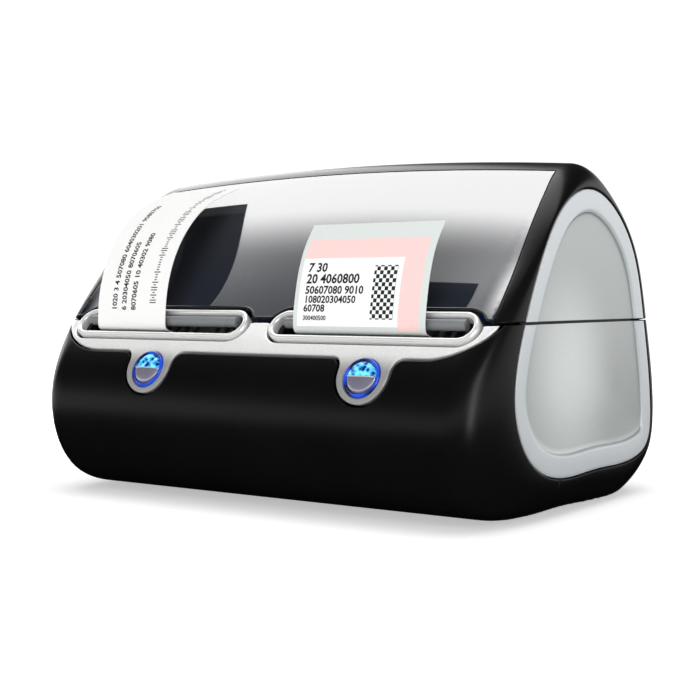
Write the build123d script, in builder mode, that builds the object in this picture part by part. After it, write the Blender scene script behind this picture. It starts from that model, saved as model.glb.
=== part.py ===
from build123d import *
import math
import os

# Desktop label maker with two print lanes side by side.  Millimetres, +X to the right,
# -Y to the front, +Z up; the origin is on the table under the middle of the case.

# ---------------------------------------------------------------- driving dimensions
HALF_WIDTH = 105.0          # case centre to its end face
WALL = 2.4                  # moulded wall of case and lid
END_WALL = 4.6              # case wall at the ends, which carry the silver panels
SEAM = 71.0                 # height of the split between case and lid
SEAM_GAP = 0.5              # clear height between case and lid
CREST = 130.4               # height of the lid's crest at its ends
CROWN = 3.8                 # how much higher the crest stands at mid width
CROWN_HALF = 95.0           # half width over which the crown falls off
SOLE = 1.5                  # underside of the case, standing on its feet
COVER_SPLIT = -18.0         # the front cover meets the rear cover here
PANEL_DEPTH = 2.6           # pocket for a silver end panel
PANEL_LIP = 0.7             # black lip round the pocket
PANEL_RIM = 8.5             # flat band round the dished middle of a panel
PANEL_DISH = 1.4            # depth of the dished middle

LANES = {"left": -50.3, "right": 50.3}      # centre of each print lane
SLOT_Y, SLOT_Z, SLOT_TILT = -59.3, 69.3, 48.0
RING_LENGTH, RING_HEIGHT, RING_WALL = 89.0, 14.0, 2.2
BEZEL_TOP, BEZEL_FOOT = 70.5, 59.4
BEZEL_GAP = 0.4
BEZEL_HALF = 101.4          # the bezel's pointed ends
TONGUE_Z, TONGUE_R = 53.7, 10.7         # rounded tongue of the bezel under each lane
BUTTON_SHIFT = 5.3          # button centre, to the right of the lane centre
BUTTON_Y, BUTTON_Z, BUTTON_TILT = -72.4, 52.2, 66.0
BUTTON_R = 5.9
LIGHT_RING_R = 7.3

PLATEN_R, SHAFT_R = 5.0, 2.0
RUN = 0.06                  # radial clearance of every running fit
PATH_EDGE = -32.7           # left edge of the paper, from the lane centre
STRIP_WIDTH = {"left": 37.0, "right": 57.0}
STRIP_THICK = 0.3
MODULE = 0.6
PLATEN_TEETH, IDLER_TEETH, PINION_TEETH = 16, 30, 12
MOTOR_R, MOTOR_LENGTH = 12.5, 18.0

ROLL_Y, ROLL_Z, ROLL_R = 8.0, 88.0, 27.0
FLANGE_R, SPINDLE_R, JOURNAL_R = 29.0, 9.0, 4.0
HINGE_Y, HINGE_Z, KNUCKLE_R, HINGE_PIN_R = 68.6, 70.8, 3.2, 1.5

# Case outline from the side: the full body (y, z), the end face (y, z) that it rounds
# down to, and the corner radius between the two.
STATIONS = (
    (-77.0, 33.5, -52.5, 42.0, 16.0),      # belly
    (-71.6, 54.0, -51.5, 55.0, 13.0),      # button line
    (-59.3, 69.3, -45.8, 70.0, 7.0),       # slot
    (-38.0, 92.6, -33.0, 93.5, 6.0),       # lid front
    (-14.0, 118.3, -12.0, 115.4, 8.0),     # brow
    (8.0, 130.4, 7.0, 120.6, 10.0),        # crest
    (34.0, 119.5, 29.5, 114.4, 10.0),      # rear shoulder
    (57.6, 97.0, 49.0, 97.0, 10.0),        # lid back
    (68.3, 71.0, 59.2, 71.0, 10.0),        # hinge line
    (77.15, 38.7, 66.6, 38.7, 10.0),       # case back
    (73.2, 18.0, 64.2, 21.0, 10.0),        # heel
    (52.0, 1.2, 50.0, 15.2, 12.0),         # sole, rear
    (7.0, 0.8, 14.0, 14.4, 12.0),          # sole, middle
    (-38.0, 1.2, -22.0, 15.0, 14.0),       # sole, front
    (-67.0, 10.5, -42.5, 24.0, 16.0),      # chin
)
CORNER_STEPS = (0.25, 1.0, 3.0, 6.0, 10.5, 16.0, 30.0, 60.0)

os.makedirs("parts", exist_ok=True)


def save(builder, name):
    builder.part.label = name
    export_step(builder.part, f"parts/{name}.step")


def outline(x, inset=0.0, half=HALF_WIDTH):
    """Case outline at width x, moved inwards by inset."""
    points = []
    for body_y, body_z, end_y, end_z, radius in STATIONS:
        into_corner = min(max((abs(x) - half + radius) / radius, 0.0), 1.0)
        spread = math.sqrt(1.0 - into_corner**2)
        fall_off = max(0.0, 1.0 - (x / CROWN_HALF) ** 2)
        lift = CROWN * fall_off * max(0.0, (body_z - SEAM) / (CREST - SEAM))
        y = end_y + (body_y - end_y) * spread
        z = end_z + (body_z + lift - end_z) * spread
        points.append((y, z))
    moved = []
    for i, (y, z) in enumerate(points):
        before, after = points[i - 1], points[(i + 1) % len(points)]
        run, rise = after[0] - before[0], after[1] - before[1]
        length = math.hypot(run, rise)
        moved.append((y + inset * rise / length, z - inset * run / length))
    return moved


def hull(inset, half):
    """Solid body of the case, inset all round, ending at +-half."""
    widths = [half - step for step in CORNER_STEPS] + [half, 0.0]
    with BuildPart() as body:
        for x in sorted(widths + [-w for w in widths if w]):
            with BuildSketch(Plane.YZ.offset(x)):
                with BuildLine():
                    Spline(outline(x, inset, half), periodic=True)
                make_face()
        loft()
    return body.part


def end_prism(inset, depth, side):
    """Prism of the end face's outline, from the end face inwards."""
    with BuildPart() as prism:
        with BuildSketch(Plane.YZ.offset(side * HALF_WIDTH)):
            with BuildLine():
                Spline(outline(HALF_WIDTH, inset), periodic=True)
            make_face()
        extrude(amount=-side * depth)
    return prism.part


def slot_plane(x, out=0.0):
    """Plane on the sloping front: local Y runs up the slope, local Z points outwards."""
    tilt = math.radians(SLOT_TILT)
    plane = Plane(origin=(x, SLOT_Y, SLOT_Z), x_dir=(1, 0, 0), z_dir=(0, -math.sin(tilt), math.cos(tilt)))
    return plane.offset(out)


def slot_point(up, out):
    """(y, z) of a point given up the slope and outwards from the slot."""
    tilt = math.radians(SLOT_TILT)
    y = SLOT_Y + up * math.cos(tilt) - out * math.sin(tilt)
    z = SLOT_Z + up * math.sin(tilt) + out * math.cos(tilt)
    return y, z


def button_plane(x, out=0.0):
    tilt = math.radians(BUTTON_TILT)
    plane = Plane(origin=(x, BUTTON_Y, BUTTON_Z), x_dir=(1, 0, 0), z_dir=(0, -math.sin(tilt), math.cos(tilt)))
    return plane.offset(out)


def across(x, y, z):
    """Plane facing +X, centred on a shaft."""
    return Plane(origin=(x, y, z), x_dir=(0, 1, 0), z_dir=(1, 0, 0))


def bezel_face(grow):
    """Front view of the silver bezel: a band with a rounded tongue under each lane."""
    foot, half = BEZEL_FOOT - grow, BEZEL_HALF + grow
    with BuildSketch(Plane.XZ) as face:
        with BuildLine():
            Polyline((-half, BEZEL_TOP), (half, BEZEL_TOP))
            Spline((half, BEZEL_TOP), (half - 3.4, 65.6 - grow), (half - 9.5, 61.3 - grow), (78, foot),
                   tangents=[(-0.35, -1), (-1, 0)])
            Polyline((78, foot), (-78, foot))
            Spline((-78, foot), (9.5 - half, 61.3 - grow), (3.4 - half, 65.6 - grow), (-half, BEZEL_TOP),
                   tangents=[(-1, 0), (-0.35, 1)])
        make_face()
        for lane in LANES.values():
            with Locations((lane + BUTTON_SHIFT, TONGUE_Z)):
                Circle(TONGUE_R + grow)
            with Locations((lane + BUTTON_SHIFT, TONGUE_Z + 4.0)):
                Rectangle(2 * (TONGUE_R + grow), 8.0)
        shoulders = [v for v in face.vertices() if abs(v.Y - foot) < 0.01 and abs(v.X) < 77]
        fillet(shoulders, 4.5 - grow)
    return face.sketch


def gear_face(teeth, bore, phase):
    """Flat face of a spur gear with straight-sided teeth; phase is the angle of one tooth."""
    pitch_r = MODULE * teeth / 2
    step = 360.0 / teeth
    points = []
    for i in range(teeth):
        centre = phase + i * step
        for share, radius in (
            (-0.29, pitch_r - 1.2 * MODULE),
            (-0.10, pitch_r + 0.85 * MODULE),
            (0.10, pitch_r + 0.85 * MODULE),
            (0.29, pitch_r - 1.2 * MODULE),
        ):
            a = math.radians(centre + share * step)
            points.append((radius * math.cos(a), radius * math.sin(a)))
    with BuildSketch() as face:
        with BuildLine():
            Polyline(*points, close=True)
        make_face()
        Circle(bore, mode=Mode.SUBTRACT)
    return face.sketch


OUTER = hull(0.0, HALF_WIDTH)
INNER = hull(WALL, HALF_WIDTH - END_WALL)
BEHIND_BEZEL = hull(WALL, HALF_WIDTH)
with BuildPart() as shell:
    add(OUTER)
    add(INNER, mode=Mode.SUBTRACT)
    for side in (-1, 1):
        add(end_prism(PANEL_LIP, PANEL_DEPTH, side), mode=Mode.SUBTRACT)
SHELL = shell.part
FAR = 400.0                 # larger than the whole case, for cutting boxes

# ---------------------------------------------------------------- case: front and rear cover
BASE_X, BASE_FRONT, BASE_BACK = 92.0, -38.0, 52.0      # opening for the base plate
BOSSES = [(side * 88.4, y) for side in (-1, 1) for y in (-32.0, 46.0)]
BOSS_FOOT, BOSS_TOP = 3.7, 15.0
BOSS_LENGTH, BOSS_WIDTH, BOSS_SHIFT = 18.0, 8.0, 6.2     # block of a screw boss, moved towards the end wall
SCREW_R, SCREW_LENGTH, SCREW_HEAD_R, SCREW_HEAD = 1.5, 11.0, 2.8, 0.9
PLATE_TOP = 3.5             # upper face of the base plate
FIT = 0.3                   # clearance round a part that drops into an opening
KNUCKLES = {"lid": (52.0, 62.0), "case": (62.3, 72.3)}   # hinge knuckles, from mid width
SOCKETS = {"usb_socket": (14.0, 12.0, 11.0), "power_socket": (38.0, 9.0, 11.0)}
BOARD_TOP, BOARD_THICK = 14.6, 1.6


def boss_rib(x, y):
    """Screw boss as a block that grows out of the end wall."""
    with BuildPart() as rib:
        with Locations((x + math.copysign(BOSS_SHIFT, x), y, (BOSS_FOOT + BOSS_TOP) / 2)):
            Box(BOSS_LENGTH, BOSS_WIDTH, BOSS_TOP - BOSS_FOOT)
        add(BEHIND_BEZEL, mode=Mode.INTERSECT)
    return rib.part


def knuckle(x_from, x_to, side):
    """Hinge knuckle, wide enough to reach into the wall it belongs to."""
    middle = side * (x_from + x_to) / 2
    with BuildPart() as part:
        with BuildSketch(across(middle - (x_to - x_from) / 2, HINGE_Y, HINGE_Z)):
            Circle(KNUCKLE_R)
        extrude(amount=x_to - x_from)
    return part.part


def hinge_room(owner):
    """Cylinders that clear the other half's knuckles out of a wall."""
    x_from, x_to = KNUCKLES[owner]
    with BuildPart() as room:
        for side in (-1, 1):
            middle = side * (x_from + x_to) / 2
            with BuildSketch(across(middle - (x_to - x_from) / 2 - 0.15, HINGE_Y, HINGE_Z)):
                Circle(KNUCKLE_R + 0.35)
            extrude(amount=x_to - x_from + 0.3)
    return room.part


def bezel_room():
    """Prism that opens the front of the case for the bezel and the slots above it."""
    with BuildPart() as room:
        with BuildSketch(Plane.XZ.offset(40)):
            add(bezel_face(BEZEL_GAP))
            with Locations((0, BEZEL_TOP + 4)):
                Rectangle(2 * BEZEL_HALF, 10)
        extrude(amount=60)
    return room.part


def case_half(front):
    """Lower case shell cut to the part in front of or behind the cover split."""
    shift = -FAR / 2 - 0.1 if front else FAR / 2 + 0.1
    with BuildPart() as half:
        add(SHELL)
        with Locations((0, COVER_SPLIT + shift, SOLE + FAR / 2)):
            Box(FAR, FAR, FAR, mode=Mode.INTERSECT)
        with Locations((0, 0, SEAM - SEAM_GAP / 2 + FAR / 2)):
            Box(FAR, FAR, FAR, mode=Mode.SUBTRACT)
        if front:
            add(bezel_room(), mode=Mode.SUBTRACT)
        for x, y in BOSSES:
            if (y < COVER_SPLIT) == front:
                add(boss_rib(x, y))
        with Locations((0, (BASE_FRONT + BASE_BACK) / 2, 0)):
            Box(2 * (BASE_X + FIT), BASE_BACK - BASE_FRONT + 2 * FIT, 2 * BOSS_FOOT, mode=Mode.SUBTRACT)
        with Locations([(x, y, 0) for x, y in BOSSES]):
            Cylinder(SCREW_R, 2 * (SCREW_LENGTH + 2), mode=Mode.SUBTRACT)
    return half.part


with BuildPart() as front_cover:
    add(case_half(front=True))
save(front_cover, "front_cover")

with BuildPart() as rear_cover:
    add(case_half(front=False))
    add(hinge_room("lid"), mode=Mode.SUBTRACT)
    for side in (-1, 1):
        add(knuckle(*KNUCKLES["case"], side))
    with BuildSketch(Plane.YZ.offset(-FAR / 2)):
        with Locations((HINGE_Y, HINGE_Z)):
            Circle(HINGE_PIN_R)
    extrude(amount=FAR, mode=Mode.SUBTRACT)
    for x, width, height in SOCKETS.values():
        with Locations((x, 75, BOARD_TOP + height / 2 + 0.1)):
            Box(width + 2 * FIT, 30, height + 0.8, mode=Mode.SUBTRACT)
save(rear_cover, "rear_cover")

VENT_LENGTH, VENT_WIDTH, VENT_PITCH = 40.0, 2.0, 6
STAND_OFF_R, STAND_OFF_ROOT = 3.5, 3.4
with BuildPart() as base_plate:
    with Locations((0, (BASE_FRONT + BASE_BACK) / 2, (SOLE + PLATE_TOP) / 2)):
        Box(2 * BASE_X, BASE_BACK - BASE_FRONT, PLATE_TOP - SOLE)
    fillet(base_plate.edges().filter_by(Axis.Z), 5)
    with Locations([(x, y, STAND_OFF_ROOT) for x in (-55, 55) for y in (15, 41)]):
        Cylinder(STAND_OFF_R, BOARD_TOP - BOARD_THICK - STAND_OFF_ROOT,
                 align=(Align.CENTER, Align.CENTER, Align.MIN))
    with Locations([(x, y, SOLE) for x, y in BOSSES]):
        Cylinder(SCREW_R + 0.1, 20, mode=Mode.SUBTRACT)
        Cylinder(SCREW_HEAD_R + 0.4, 2 * (SCREW_HEAD + 0.1), mode=Mode.SUBTRACT)
    with Locations([(x, y, SOLE) for x in (-60, 60) for y in range(-12, 40, VENT_PITCH)]):
        Box(VENT_LENGTH, VENT_WIDTH, 10, mode=Mode.SUBTRACT)
save(base_plate, "base_plate")

FEET = [(side * 70.0, y) for side in (-1, 1) for y in (-28.0, 44.0)]
FOOT_R = 6.0
with BuildPart() as rubber_feet:
    with Locations([(x, y, 0) for x, y in FEET]):
        Cylinder(FOOT_R, SOLE, align=(Align.CENTER, Align.CENTER, Align.MIN))
    fillet(rubber_feet.edges().filter_by(GeomType.CIRCLE).group_by(Axis.Z)[0], 0.5)
save(rubber_feet, "rubber_feet")

with BuildPart() as case_screws:
    with Locations([(x, y, SOLE + 0.1) for x, y in BOSSES]):
        Cylinder(SCREW_HEAD_R, SCREW_HEAD, align=(Align.CENTER, Align.CENTER, Align.MIN))
        Cylinder(SCREW_R - 0.06, SCREW_LENGTH, align=(Align.CENTER, Align.CENTER, Align.MIN))
    with Locations([(x, y, SOLE) for x, y in BOSSES]):
        Box(3.2, 0.7, 1.0, mode=Mode.SUBTRACT)
        Box(0.7, 3.2, 1.0, mode=Mode.SUBTRACT)
save(case_screws, "case_screws")


def end_panel(side, upper):
    """Silver end panel: a flat rim round a dished middle, above or below the seam."""
    with BuildPart() as panel:
        add(end_prism(PANEL_LIP + 0.2, PANEL_DEPTH - 0.1, side))
        add(end_prism(PANEL_LIP + PANEL_RIM, PANEL_DISH, side), mode=Mode.SUBTRACT)
        shift = SEAM + 0.55 + FAR / 2 if upper else SEAM - 0.75 - FAR / 2
        with Locations((0, 0, shift)):
            Box(FAR, FAR, FAR, mode=Mode.INTERSECT)
    return panel


for name, side in (("left", -1), ("right", 1)):
    save(end_panel(side, upper=False), f"case_panel_{name}")
    save(end_panel(side, upper=True), f"lid_panel_{name}")

# ---------------------------------------------------------------- front bezel and slots
GROOVE = 1.1                # open groove round each slot ring

with BuildPart() as front_bezel:
    add(OUTER)
    add(BEHIND_BEZEL, mode=Mode.SUBTRACT)
    with BuildSketch(Plane.XZ.offset(40)):
        add(bezel_face(0))
    extrude(amount=60, mode=Mode.INTERSECT)
    for lane in LANES.values():
        with BuildSketch(slot_plane(lane, -12)):
            SlotOverall(RING_LENGTH + 2 * GROOVE, RING_HEIGHT + 2 * GROOVE)
        extrude(amount=24, mode=Mode.SUBTRACT)
        with BuildSketch(button_plane(lane + BUTTON_SHIFT, -8)):
            Circle(LIGHT_RING_R + 0.15)
        extrude(amount=16, mode=Mode.SUBTRACT)
save(front_bezel, "front_bezel")

RING_DEEP, RING_PROUD = 2.6, 1.4       # how far a ring reaches in and out of the slope
for name, lane in LANES.items():
    with BuildPart() as slot_ring:
        with BuildSketch(slot_plane(lane, -RING_DEEP)):
            SlotOverall(RING_LENGTH, RING_HEIGHT)
            SlotOverall(RING_LENGTH - 2 * RING_WALL, RING_HEIGHT - 2 * RING_WALL, mode=Mode.SUBTRACT)
        extrude(amount=RING_DEEP + RING_PROUD)
        outwards = Axis((lane, SLOT_Y, SLOT_Z), tuple(slot_plane(lane).z_dir))
        top = slot_ring.faces().sort_by(outwards)[-1]
        fillet(top.edges(), 0.8)
    save(slot_ring, f"slot_ring_{name}")

TRAY_OUT, TRAY_THICK = -4.2, 1.5
TRAY_BRIDGE, TRAY_MOUTH = (30.0, 6.0), (81.0, 7.6)
with BuildPart() as exit_tray:
    for lane in LANES.values():
        with BuildSketch(slot_plane(lane, TRAY_OUT)):
            SlotOverall(RING_LENGTH + 1.4, RING_HEIGHT + 1.4)
        extrude(amount=TRAY_THICK)
        with BuildSketch(slot_plane(lane, TRAY_OUT - 1.0)):
            SlotOverall(TRAY_MOUTH[0] + 3.0, TRAY_MOUTH[1] + 3.0)
        extrude(amount=1.4)
    with BuildSketch(slot_plane(0, TRAY_OUT)):
        with Locations((0, -2.5)):
            Rectangle(*TRAY_BRIDGE)
    extrude(amount=TRAY_THICK)
    for lane in LANES.values():
        with BuildSketch(slot_plane(lane, -8)):
            SlotOverall(*TRAY_MOUTH)
        extrude(amount=8, mode=Mode.SUBTRACT)
save(exit_tray, "exit_tray")

TOOTH_PITCH, TEAR_LENGTH = 1.5, 78.0
TEAR_BASE, TEAR_VALLEY, TEAR_TIP = -4.6, -3.6, -2.8     # heights up the slope
GUIDE_R, GUIDE_UP, GUIDE_OUT, GUIDE_LENGTH = 2.1, 2.3, -0.9, 77.0
for name, lane in LANES.items():
    teeth = int(TEAR_LENGTH / TOOTH_PITCH)
    edge = [(-TEAR_LENGTH / 2, TEAR_BASE)]
    for i in range(teeth):
        left = -TEAR_LENGTH / 2 + i * TOOTH_PITCH
        edge += [(left, TEAR_VALLEY), (left + TOOTH_PITCH / 2, TEAR_TIP)]
    edge += [(TEAR_LENGTH / 2, TEAR_VALLEY), (TEAR_LENGTH / 2, TEAR_BASE)]
    with BuildPart() as tear_bar:
        with BuildSketch(slot_plane(lane, -2.55)):
            with BuildLine():
                Polyline(*edge, close=True)
            make_face()
        extrude(amount=1.2)
    save(tear_bar, f"tear_bar_{name}")

    with BuildPart() as guide_bar:
        with BuildSketch(across(lane - GUIDE_LENGTH / 2, *slot_point(GUIDE_UP, GUIDE_OUT))):
            Circle(GUIDE_R)
        extrude(amount=GUIDE_LENGTH)
    save(guide_bar, f"guide_bar_{name}")

# ---------------------------------------------------------------- lid
LID_FLOOR = SEAM + SEAM_GAP / 2
WINDOW_BACK = -3.0          # rear edge of the window, just in front of the crest
WINDOW_FIT = 0.12


def window_view(grow):
    """Front view of the window, narrowing towards the crest."""
    with BuildSketch(Plane.XZ) as face:
        with BuildLine():
            Polyline((-100, 50), (100, 50), (98.6, 84), (96.5, 118), (94, 136), (-94, 136),
                     (-96.5, 118), (-98.6, 84), close=True)
        make_face()
        if grow:
            offset(amount=grow)
    return face.sketch


with BuildPart() as lid_window:
    add(OUTER)
    add(BEHIND_BEZEL, mode=Mode.SUBTRACT)
    with BuildSketch(Plane.XZ.offset(-WINDOW_BACK)):
        add(window_view(0))
    extrude(amount=FAR, mode=Mode.INTERSECT)
    with Locations((0, 0, LID_FLOOR + 0.9 + FAR / 2)):
        Box(FAR, FAR, FAR, mode=Mode.INTERSECT)
    for lane in LANES.values():
        with BuildSketch(slot_plane(lane, -12)):
            SlotOverall(RING_LENGTH + 3.2, RING_HEIGHT + 3.2)
        extrude(amount=24, mode=Mode.SUBTRACT)
save(lid_window, "lid_window")

with BuildPart() as lid_frame:
    add(SHELL)
    with Locations((0, 0, LID_FLOOR + FAR / 2)):
        Box(FAR, FAR, FAR, mode=Mode.INTERSECT)
    with BuildSketch(Plane.XZ.offset(-WINDOW_BACK - WINDOW_FIT)):
        add(window_view(WINDOW_FIT))
    extrude(amount=FAR, mode=Mode.SUBTRACT)
    add(hinge_room("case"), mode=Mode.SUBTRACT)
    for side in (-1, 1):
        add(knuckle(*KNUCKLES["lid"], side))
    with BuildSketch(Plane.YZ.offset(-FAR / 2)):
        with Locations((HINGE_Y, HINGE_Z)):
            Circle(HINGE_PIN_R + RUN)
    extrude(amount=FAR, mode=Mode.SUBTRACT)
save(lid_frame, "lid_frame")

with BuildPart() as hinge_pins:
    for side in (-1, 1):
        start = side * (KNUCKLES["lid"][0] + KNUCKLES["case"][1]) / 2
        with BuildSketch(across(start - 10.1, HINGE_Y, HINGE_Z)):
            Circle(HINGE_PIN_R)
        extrude(amount=20.2)
save(hinge_pins, "hinge_pins")

ARM_X, ARM_THICK, ARM_DEPTH = 35.0, 2.4, 13.0
SHELF_Z, SHELF_LENGTH, SHELF_THICK = 122.0, 184.0, 2.4
RIB_THICK, RIB_HEIGHT = 3.0, 20.0
with BuildPart() as spool_cradle:
    with Locations((0, ROLL_Y, SHELF_Z + SHELF_THICK / 2)):
        Box(SHELF_LENGTH, ARM_DEPTH, SHELF_THICK)
    for x in (-80, -40, 0, 40, 80):
        with Locations((x, ROLL_Y, SHELF_Z + RIB_HEIGHT / 2)):
            Box(RIB_THICK, ARM_DEPTH - 3, RIB_HEIGHT)
    for lane in LANES.values():
        for side in (-1, 1):
            with Locations((lane + side * ARM_X, ROLL_Y, (ROLL_Z - 6 + SHELF_Z + 1) / 2)):
                Box(ARM_THICK, ARM_DEPTH, SHELF_Z + 1 - ROLL_Z + 6)
    add(hull(WALL + 0.1, HALF_WIDTH - END_WALL - 0.5), mode=Mode.INTERSECT)
    with BuildSketch(Plane.YZ.offset(-FAR / 2)):
        with Locations((ROLL_Y, ROLL_Z)):
            Circle(JOURNAL_R + RUN)
        with Locations((ROLL_Y - 10, ROLL_Z)):
            Rectangle(20, 2 * (JOURNAL_R + RUN))
    extrude(amount=FAR, mode=Mode.SUBTRACT)
save(spool_cradle, "spool_cradle")

# ---------------------------------------------------------------- spools and label rolls
SPINDLE_HALF, JOURNAL_HALF = 33.0, 37.5
FLANGE_X, FLANGE_THICK = -33.4, 1.6
ROLL_START = FLANGE_X + FLANGE_THICK + 0.1
WINDOW_RING_R, WINDOW_HOLE_R, WINDOW_HOLES = 18.5, 5.5, 6   # lightening holes of a flange
for name, lane in LANES.items():
    with BuildPart() as spool:
        with BuildSketch(across(lane - SPINDLE_HALF, ROLL_Y, ROLL_Z)):
            Circle(SPINDLE_R)
        extrude(amount=2 * SPINDLE_HALF)
        with BuildSketch(across(lane + FLANGE_X, ROLL_Y, ROLL_Z)):
            Circle(FLANGE_R)
            with PolarLocations(WINDOW_RING_R, WINDOW_HOLES):
                Circle(WINDOW_HOLE_R, mode=Mode.SUBTRACT)
        extrude(amount=FLANGE_THICK)
        with BuildSketch(across(lane - JOURNAL_HALF, ROLL_Y, ROLL_Z)):
            Circle(JOURNAL_R)
        extrude(amount=2 * JOURNAL_HALF)
    save(spool, f"spool_{name}")

    with BuildPart() as label_roll:
        with BuildSketch(across(lane + ROLL_START, ROLL_Y, ROLL_Z)):
            Circle(ROLL_R)
            Circle(SPINDLE_R + 0.1, mode=Mode.SUBTRACT)
        extrude(amount=STRIP_WIDTH[name] + 1)
    save(label_roll, f"label_roll_{name}")

    with BuildPart() as spool_guide:
        with BuildSketch(across(lane + ROLL_START + 1.1 + STRIP_WIDTH[name], ROLL_Y, ROLL_Z)):
            Circle(FLANGE_R)
            Circle(SPINDLE_R + 0.1, mode=Mode.SUBTRACT)
            with PolarLocations(WINDOW_RING_R, WINDOW_HOLES):
                Circle(WINDOW_HOLE_R, mode=Mode.SUBTRACT)
        extrude(amount=FLANGE_THICK + 0.2)
    save(spool_guide, f"spool_guide_{name}")

# ---------------------------------------------------------------- print engines
NIP_OUT = -11.0
PLATEN = slot_point(-PLATEN_R - 0.1, NIP_OUT)
HEAD_PIVOT = slot_point(4.5, -27.0)
GEAR_X, GEAR_THICK = -40.0, 4.0                 # left face of the gears, from the lane centre
IDLER_ANGLE, MOTOR_ANGLE = -75.0, -60.0         # directions platen-idler and idler-motor


def step_from(point, angle, distance):
    a = math.radians(angle)
    return point[0] + distance * math.cos(a), point[1] + distance * math.sin(a)


IDLER = step_from(PLATEN, IDLER_ANGLE, MODULE * (PLATEN_TEETH + IDLER_TEETH) / 2)
MOTOR = step_from(IDLER, MOTOR_ANGLE, MODULE * (IDLER_TEETH + PINION_TEETH) / 2)
IDLER_PHASE = IDLER_ANGLE + 180 + 180 / IDLER_TEETH
PAST_TOOTH = (MOTOR_ANGLE - IDLER_PHASE) % (360 / IDLER_TEETH)
PINION_PHASE = MOTOR_ANGLE + 180 + 180 / PINION_TEETH + PAST_TOOTH * IDLER_TEETH / PINION_TEETH
RAIL = (-29.0, 46.0)
LEVER_PIVOT = (-44.0, 62.0)
PLATE_OUT, PLATE_THICK = 34.8, 1.6
BUSH_R = 3.5
HEAD_LENGTH, HEAD_THICK, HEAD_DEPTH = 62.0, 1.18, 16.8
SINK_LENGTH, SINK_FIN_GAP = 58.0, 2.4
SPRING_X = (-16.0, 16.0)
SPRING_FROM, SPRING_TO, SPRING_R = 7.1, 11.1, 2.2


def path_strip(route, x_from, width, thick):
    """Paper strip that follows a side-view route, as a thin curved sheet."""
    with BuildPart() as strip:
        with BuildSketch(Plane.YZ.offset(x_from)):
            with BuildLine() as line:
                Spline(*route)
            trace(line_width=thick)
        extrude(amount=width)
    return strip


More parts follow.
